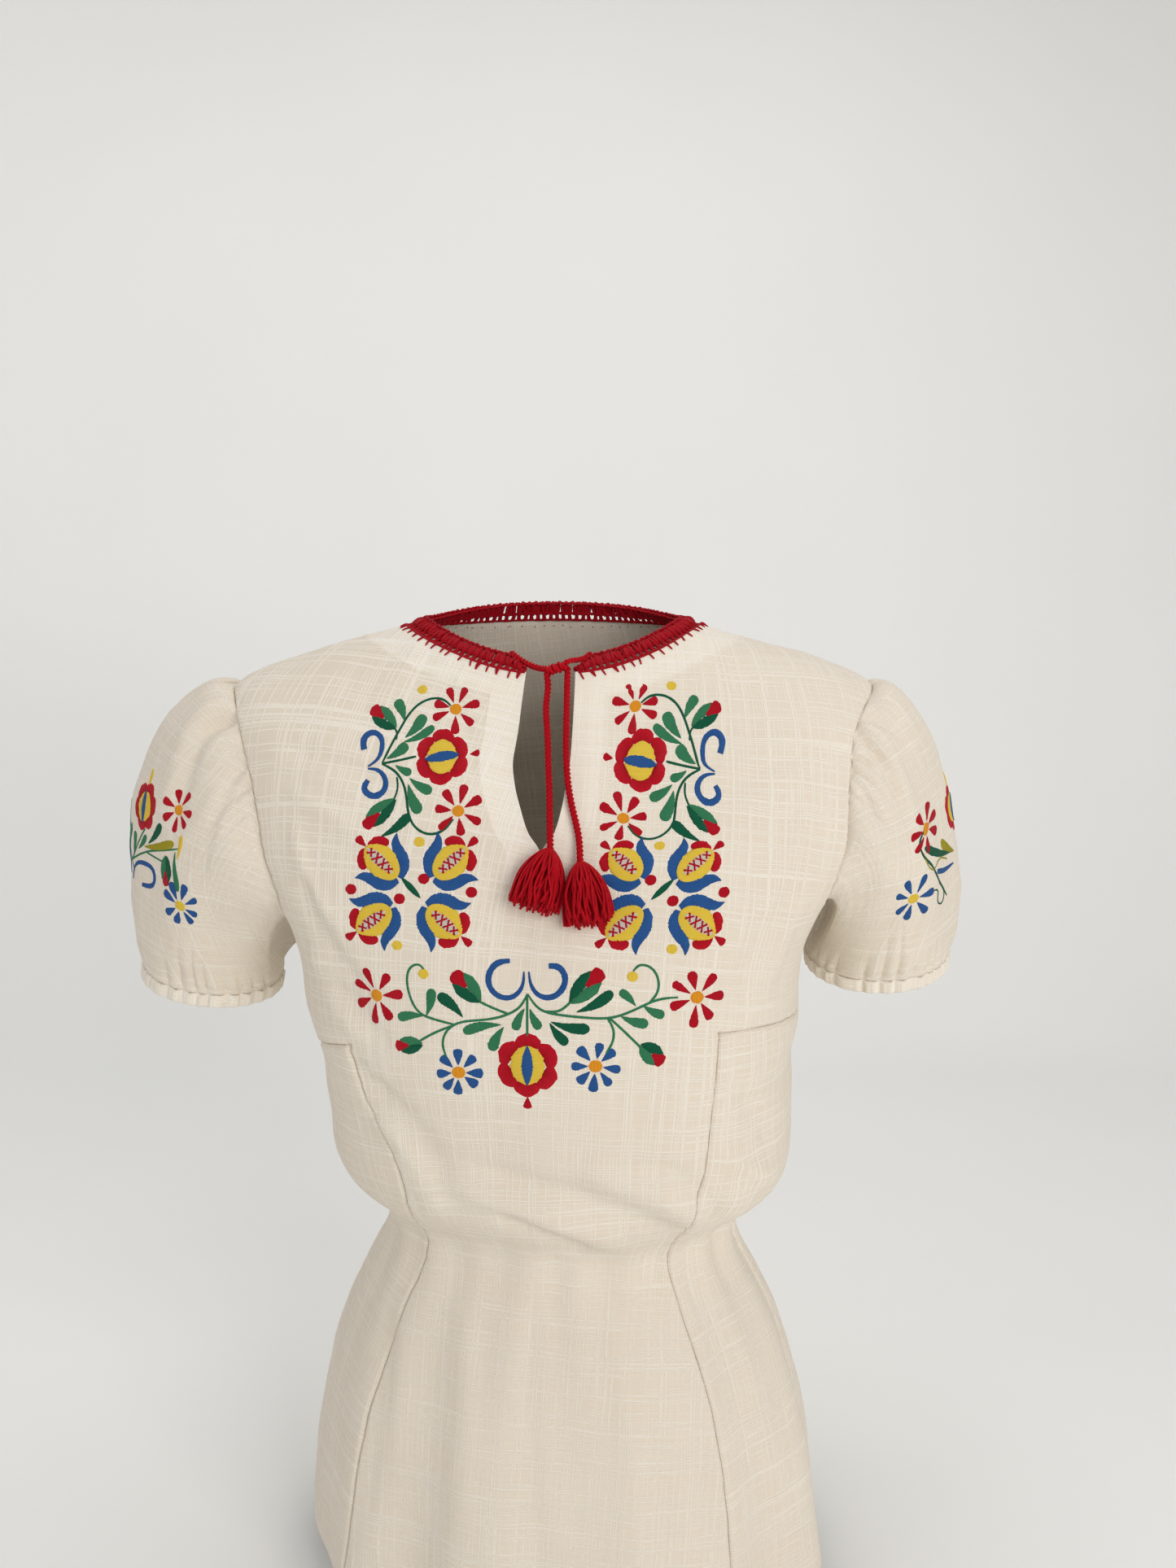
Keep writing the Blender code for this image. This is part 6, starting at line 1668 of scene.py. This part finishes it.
def mirrored(grids):  # the left column turned over its middle line, moved up a little
    for grid in grids:
        x, z, rise = np.moveaxis(grid, -1, 0)
        line, lift = [np.interp(-z, *values) for values in (columnTurn["middle"], columnTurn["lift"])]
        yield np.stack([2 * line - x, z + lift, rise], -1)[:, ::-1]


frontNet = {  # where the front's places are tabled, in metres, and the step between them
    "across": (-0.135, 0.135), "up": (-0.300, -0.030), "step": 0.003, "levels": 9, "degrees": 76,
    "levelPlaces": 46, "anglePlaces": 77, "tableSteps": 5, "lastSteps": 2, "levelStep": 0.4, "angleStep": 0.1,
}


def newton(goal, found, steps):
    # Newton steps for the level and angle of the surface at places across and up.
    for _ in range(steps):
        level, angle = np.moveaxis(found, -1, 0)
        down = (bareBody(level + tiny, angle) - bareBody(level - tiny, angle))[..., ::2] / (2 * tiny)
        around = (bareBody(level, angle + tiny) - bareBody(level, angle - tiny))[..., ::2] / (2 * tiny)
        miss = goal - body(level, angle)[..., ::2]
        size = down[..., 0] * around[..., 1] - down[..., 1] * around[..., 0]
        size = np.where(abs(size) < 1e-6, 1e-6, size)
        stepLevel = (miss[..., 0] * around[..., 1] - miss[..., 1] * around[..., 0]) / size
        stepAngle = (down[..., 0] * miss[..., 1] - down[..., 1] * miss[..., 0]) / size
        held = lambda step, most: np.clip(step, -most, most)
        found = np.stack([np.clip(level + held(stepLevel, frontNet["levelStep"]), 0, frontNet["levels"]),
                          held(angle + held(stepAngle, frontNet["angleStep"]), 1.4)], -1)
    return found


def placeTable():
    # For each place across and up, in metres, the level and angle of the surface there.
    level, angle = np.meshgrid(
        np.linspace(0, frontNet["levels"], frontNet["levelPlaces"]),
        np.radians(np.linspace(-frontNet["degrees"], frontNet["degrees"], frontNet["anglePlaces"])), indexing="ij")
    spots = body(level, angle)[..., ::2].reshape(-1, 2)
    across, up = [np.arange(low, high + tiny, frontNet["step"]) for low, high in (frontNet["across"], frontNet["up"])]
    goal = np.stack(np.meshgrid(across, up, indexing="ij"), -1)
    near = np.concatenate([((part.reshape(-1, 1, 2) - spots) ** 2).sum(axis=-1).argmin(axis=1) for part in goal])
    found = np.stack([level.ravel()[near], angle.ravel()[near]], -1).reshape(goal.shape)
    return across, up, newton(goal, found, frontNet["tableSteps"])


def between(table, row, column, wrap=False):  # read a grid between its points, straight both ways
    i, j = np.minimum(row.astype(int), len(table) - 2), column.astype(int)
    f, g = (row - i)[..., None], (column - j)[..., None]
    j, k = (j % table.shape[1], (j + 1) % table.shape[1]) if wrap else (j, j + 1)
    return ((1 - f) * (1 - g) * table[i, j] + f * (1 - g) * table[i + 1, j]
            + (1 - f) * g * table[i, k] + f * g * table[i + 1, k])


def onFront(points):  # chart points (across, up, out, in millimetres) laid on the front's soft folds
    goal = points[..., :2] * mm
    across, up, table = frontPlaces
    row, column = [np.clip((goal[..., axis] - places[0]) / frontNet["step"], 0, len(places) - 1.001)
                   for axis, places in enumerate((across, up))]
    level, angle = np.moveaxis(newton(goal, between(table, row, column), frontNet["lastSteps"]), -1, 0)
    base = body(level, angle)
    return base + (bodyLift(base) + points[..., 2] * mm)[..., None] * normalOf(body, level, angle)


def sewOn(name, grids, lay):
    # One piece for each thread colour, all of its satin shapes laid on the cloth at once.
    pieces = []
    for colour, shapes in grids.items():
        if not shapes:
            continue
        laid = lay(np.concatenate([shape.reshape(-1, 3) for shape in shapes]))
        ends = np.cumsum([shape[..., 0].size for shape in shapes])
        batch = Batch()
        for shape, points in zip(shapes, np.split(laid, ends[:-1])):
            batch.tube(points.reshape(shape.shape))
        slot = "red_thread" if colour == "red" else None
        pieces.append(batch.piece(name + colour[0].upper() + colour[1:], thread[colour], slot=slot))
    return pieces


columnTurn = {  # by millimetres down: the middle line of the two columns, and how far the right one moves up
    "middle": ((45, 80, 110, 136, 167, 190), (-2.5, -5.4, -4.8, -6.2, -8.3, -8.6)),
    "lift": ((45, 60, 78, 108, 122, 136), (2.2, 1.0, -3.0, -3.8, -2.0, 0.0)),
}
frontPlaces = placeTable()
column()
for shapes in chart.values():
    shapes += list(mirrored(shapes))
lowerBand()
frontEmbroidery = sewOn("frontFlowers", chart, onFront)
print("front embroidery made")

# The sleeves' flowers: every group is drawn in millimetres round its own place on the sleeve.
sleevePlaces = {  # turn in degrees and share down: pomegranate, red daisy, leaves, blue daisy
    "left": ((30.5, 0.430), (52.0, 0.335), (42.0, 0.530), (79.0, 0.585)),
    "right": ((11.0, 0.510), (48.5, 0.438), (46.0, 0.570), (77.0, 0.600)),
}
sleeveDrawing = {
    "left": {"middle": 22.0, "mainLean": 18.0, "redSpread": 1.0, "blue": (14.2, 8, 92.0)},
    "right": {"middle": 10.0, "mainLean": 0.0, "redSpread": 1.65, "blue": (16.2, 7, 82.0)},
}  # where the hidden half is turned over, in degrees; the blue daisy's radius, petals and first turn
sleeveBud = ((62.5, 0.566), (57.0, 0.478), 14.0)  # on the left sleeve
sleeveLeaves = {
    "left": (("lightGreen", (27.0, 0.585), (25.0, 0.520), 6.4), ("lightGreen", (32.0, 0.550), (37.0, 0.492), 4.6),
             ("green", (40.5, 0.505), (46.5, 0.415), 6.0), ("olive", (37.0, 0.525), (59.0, 0.424), 7.0),
             ("yellow", (66.0, 0.452), (61.5, 0.380), 4.8), ("lightGreen", (62.5, 0.435), (74.0, 0.545), 6.0)),
    "right": (("olive", (19.0, 0.605), (34.0, 0.532), 7.0), ("green", (20.0, 0.600), (58.5, 0.468), 6.2)),
}
sleeveStems = {
    "left": (("lightGreen", 0.8, (16.0, 0.625), (24.0, 0.600), (31.0, 0.530), (35.0, 0.480)),
             ("lightGreen", 0.7, (16.5, 0.625), (24.0, 0.602), (40.0, 0.532), (52.0, 0.480), (64.0, 0.420)),
             ("lightGreen", 0.7, (40.0, 0.532), (48.0, 0.520), (58.0, 0.500))),
    "right": (("green", 1.1, (52.0, 0.432), (60.5, 0.440), (62.0, 0.470), (57.0, 0.530), (50.0, 0.600),
               (39.0, 0.690)),
              ("green", 0.7, (49.0, 0.620), (44.0, 0.680), (48.0, 0.694), (54.0, 0.668), (52.5, 0.640),
               (58.0, 0.622)),
              ("olive", 0.6, (61.0, 0.475), (60.0, 0.525), (56.0, 0.552), (46.0, 0.556), (31.0, 0.594))),
}
sleeveHooks = {
    "left": ((25.5, 0.655), (27.0, 0.625), (33.0, 0.588), (41.0, 0.566), (49.0, 0.566), (51.0, 0.592), (41.0, 0.632)),
    "right": ((23.0, 0.630), (37.0, 0.612), (50.0, 0.578)),
}


def onSleeve(side, points):  # points hold the turn, the share down and the lift off the cloth, read off the grid
    turn, share, grid, normal = sleeveGrids[side]
    row = np.interp(points[..., 1], share, np.arange(len(share)))
    column = (points[..., 0] % (2 * math.pi)) * len(turn) / (2 * math.pi)
    read = lambda table: between(table, row, column, True)
    return read(grid) + points[..., 2:3] * unit(read(normal))


def sleeveChart(side, place):
    # The cloth round a place as a flat chart: how many metres one radian round and one share down are, and how
    # far the two lines lean. It gives back the way onto the chart in millimetres, and the way back.
    centre = np.array([math.radians(place[0]), place[1], 0.0])
    round, down = [(onSleeve(side, centre + step) - onSleeve(side, centre - step)) / (2 * step.max())
                   for step in np.diag((0.06, 0.03, 0))[:2]]
    up = -unit(down)
    lean = float(round @ up)
    across, length = np.linalg.norm(round - lean * up), np.linalg.norm(down)

    def near(turn, share):
        away = math.radians(turn) - centre[0]
        return away * across / mm, (lean * away - length * (share - centre[1])) / mm

    def onto(shape):
        turn = shape[..., 0] * mm / across
        share = -(shape[..., 1] * mm - lean * turn) / length
        return np.stack([centre[0] + turn, centre[1] + share, shape[..., 2] * mm], -1)[:, ::int(-signOf[side])]

    return near, onto


def sleeveFlowers(side):
    # Each group is drawn on its own flat chart, laid on the sleeve, and turned over about the garland's middle.
    main, red, leaves, blue = sleevePlaces[side]
    drawing = sleeveDrawing[side]
    lean = drawing["mainLean"]

    def drawMain(near):
        pomegranate(near(*main), 1.0, 90.0 + lean)
        lens("yellow", *turned(((0, 13.4), (0, 24.6)), lean, near(*main)), 1.9)

    def drawLeaves(near):
        for colour, tip, end, width in sleeveLeaves[side]:
            leaf(colour, near(*tip), near(*end), width)
        for colour, width, *points in sleeveStems[side]:
            stem([near(*point) for point in points], colour, width)
        hook([near(*point) for point in sleeveHooks[side]], (0.5, 1.1, 1.5, 1.8, 1.9, 1.9, 1.5))
        if side == "left":
            tip, root, width = sleeveBud
            bud(near(*tip), near(*root), width)

    def drawRed(near):  # drawn wider where the sleeve turns away
        daisy("red", "orange", near(*red), 13.4, 7, 80.0)
        for shapes in chart.values():
            for shape in shapes:
                shape[..., 0] *= drawing["redSpread"]

    def drawBlue(near):
        daisy("blue", "yellow", near(*blue), *drawing["blue"], 5.6, 3.6)

    found = {colour: [] for colour in threads}
    for place, draw in ((main, drawMain), (leaves, drawLeaves), (red, drawRed), (blue, drawBlue)):
        near, onto = sleeveChart(side, place)
        draw(near)
        for colour, shapes in chart.items():
            grids = [onto(shape) for shape in shapes]
            over = np.array([2 * math.radians(drawing["middle"]), 0, 0])
            hidden = [(over + grid * np.array([-1, 1, 1]))[:, ::-1] for grid in grids]
            found[colour] += grids if place == main else grids + hidden
            shapes.clear()
    return sewOn("sleeve" + side.title() + "Flowers", found, lambda points: onSleeve(side, points))


for shapes in chart.values():
    shapes.clear()
sleeveEmbroidery = {side: sleeveFlowers(side) for side in sides}
print("sleeve embroidery made")

cuts = {  # width and length of the cut as laid flat, and its area, in metres and square metres
    "frontCloth": ((0.465, 0.684), 0.1735), "backCloth": ((0.470, 0.685), 0.2510),
    "sidePanelLeft": ((0.148, 0.368), 0.0406), "sidePanelRight": ((0.132, 0.383), 0.0393),
    "sleeveLeft": ((0.533, 0.224), 0.0560), "sleeveRight": ((0.486, 0.204), 0.0473),
}
sewnOn = {
    "frontCloth": ("hung", ("backCloth",), [facing] + frontEmbroidery),
    "backCloth": ("hung", (), []),
    "sidePanelLeft": ("hung", ("frontCloth", "backCloth"), []),
    "sidePanelRight": ("hung", ("frontCloth", "backCloth"), []),
    "sleeveLeft": ("gathered", ("frontCloth", "backCloth"), [casings["left"]] + sleeveEmbroidery["left"]),
    "sleeveRight": ("gathered", ("frontCloth", "backCloth"), [casings["right"]] + sleeveEmbroidery["right"]),
}
for name, (flat, area) in cuts.items():
    held, restsOn, withPieces = sewnOn[name]
    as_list(restsOn)
    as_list(withPieces)


# The floor, the backdrop and the lamps.
def buildBackdrop():
    # A floor that bends up into a wall: straight, then a quarter circle, then straight.
    floor, wallAt, bend = studio["floor"], studio["wall"], studio["bend"]
    turn = np.linspace(0, math.pi / 2, studio["bendSteps"])
    y = np.concatenate([[studio["front"]], wallAt - bend + bend * np.sin(turn), [wallAt]])
    z = np.concatenate([[floor], floor + bend - bend * np.cos(turn), [studio["height"]]])
    x = np.array([-studio["halfWidth"], studio["halfWidth"]])
    grid = np.stack(np.broadcast_arrays(x, y[:, None], z[:, None]), -1)
    data = newMesh("backdrop", grid.reshape(-1, 3), quadsOf(len(y), 2)[:, ::-1])
    finish, shader, make = nodeTree("backdropPaint", studio["roughness"])
    patches = make.noise(make.add("ShaderNodeTexCoord", out="Object"), studio["patches"], finishes["detail"])
    paler = tuple(min(1.0, value * studio["paler"]) for value in studio["colour"])
    make.put(shader.inputs["Base Color"], make.mix(patches, (*studio["colour"], 1), (*paler, 1)))
    data.materials.append(finish)
    backdrop = bpy.data.objects.new("backdrop", data)
    bpy.context.scene.collection.objects.link(backdrop)


def buildLamps():
    for name, (place, aim, size, watts, colour) in lamps.items():
        light = bpy.data.lights.new(name, "AREA")
        light.size, light.energy, light.color = size, watts, colour
        lamp = bpy.data.objects.new(name, light)
        lamp.location = place
        lamp.rotation_euler = (Vector(aim) - Vector(place)).to_track_quat("-Z", "Y").to_euler()
        bpy.context.scene.collection.objects.link(lamp)
    world = bpy.data.worlds.new("air")
    world.use_nodes = True
    air = world.node_tree.nodes["Background"].inputs
    air["Color"].default_value = (*studio["air"], 1)
    air["Strength"].default_value = studio["airStrength"]
    bpy.context.scene.world = world
    bpy.context.scene.view_settings.view_transform = studio["tones"]


buildBackdrop()
buildLamps()
print("studio set")
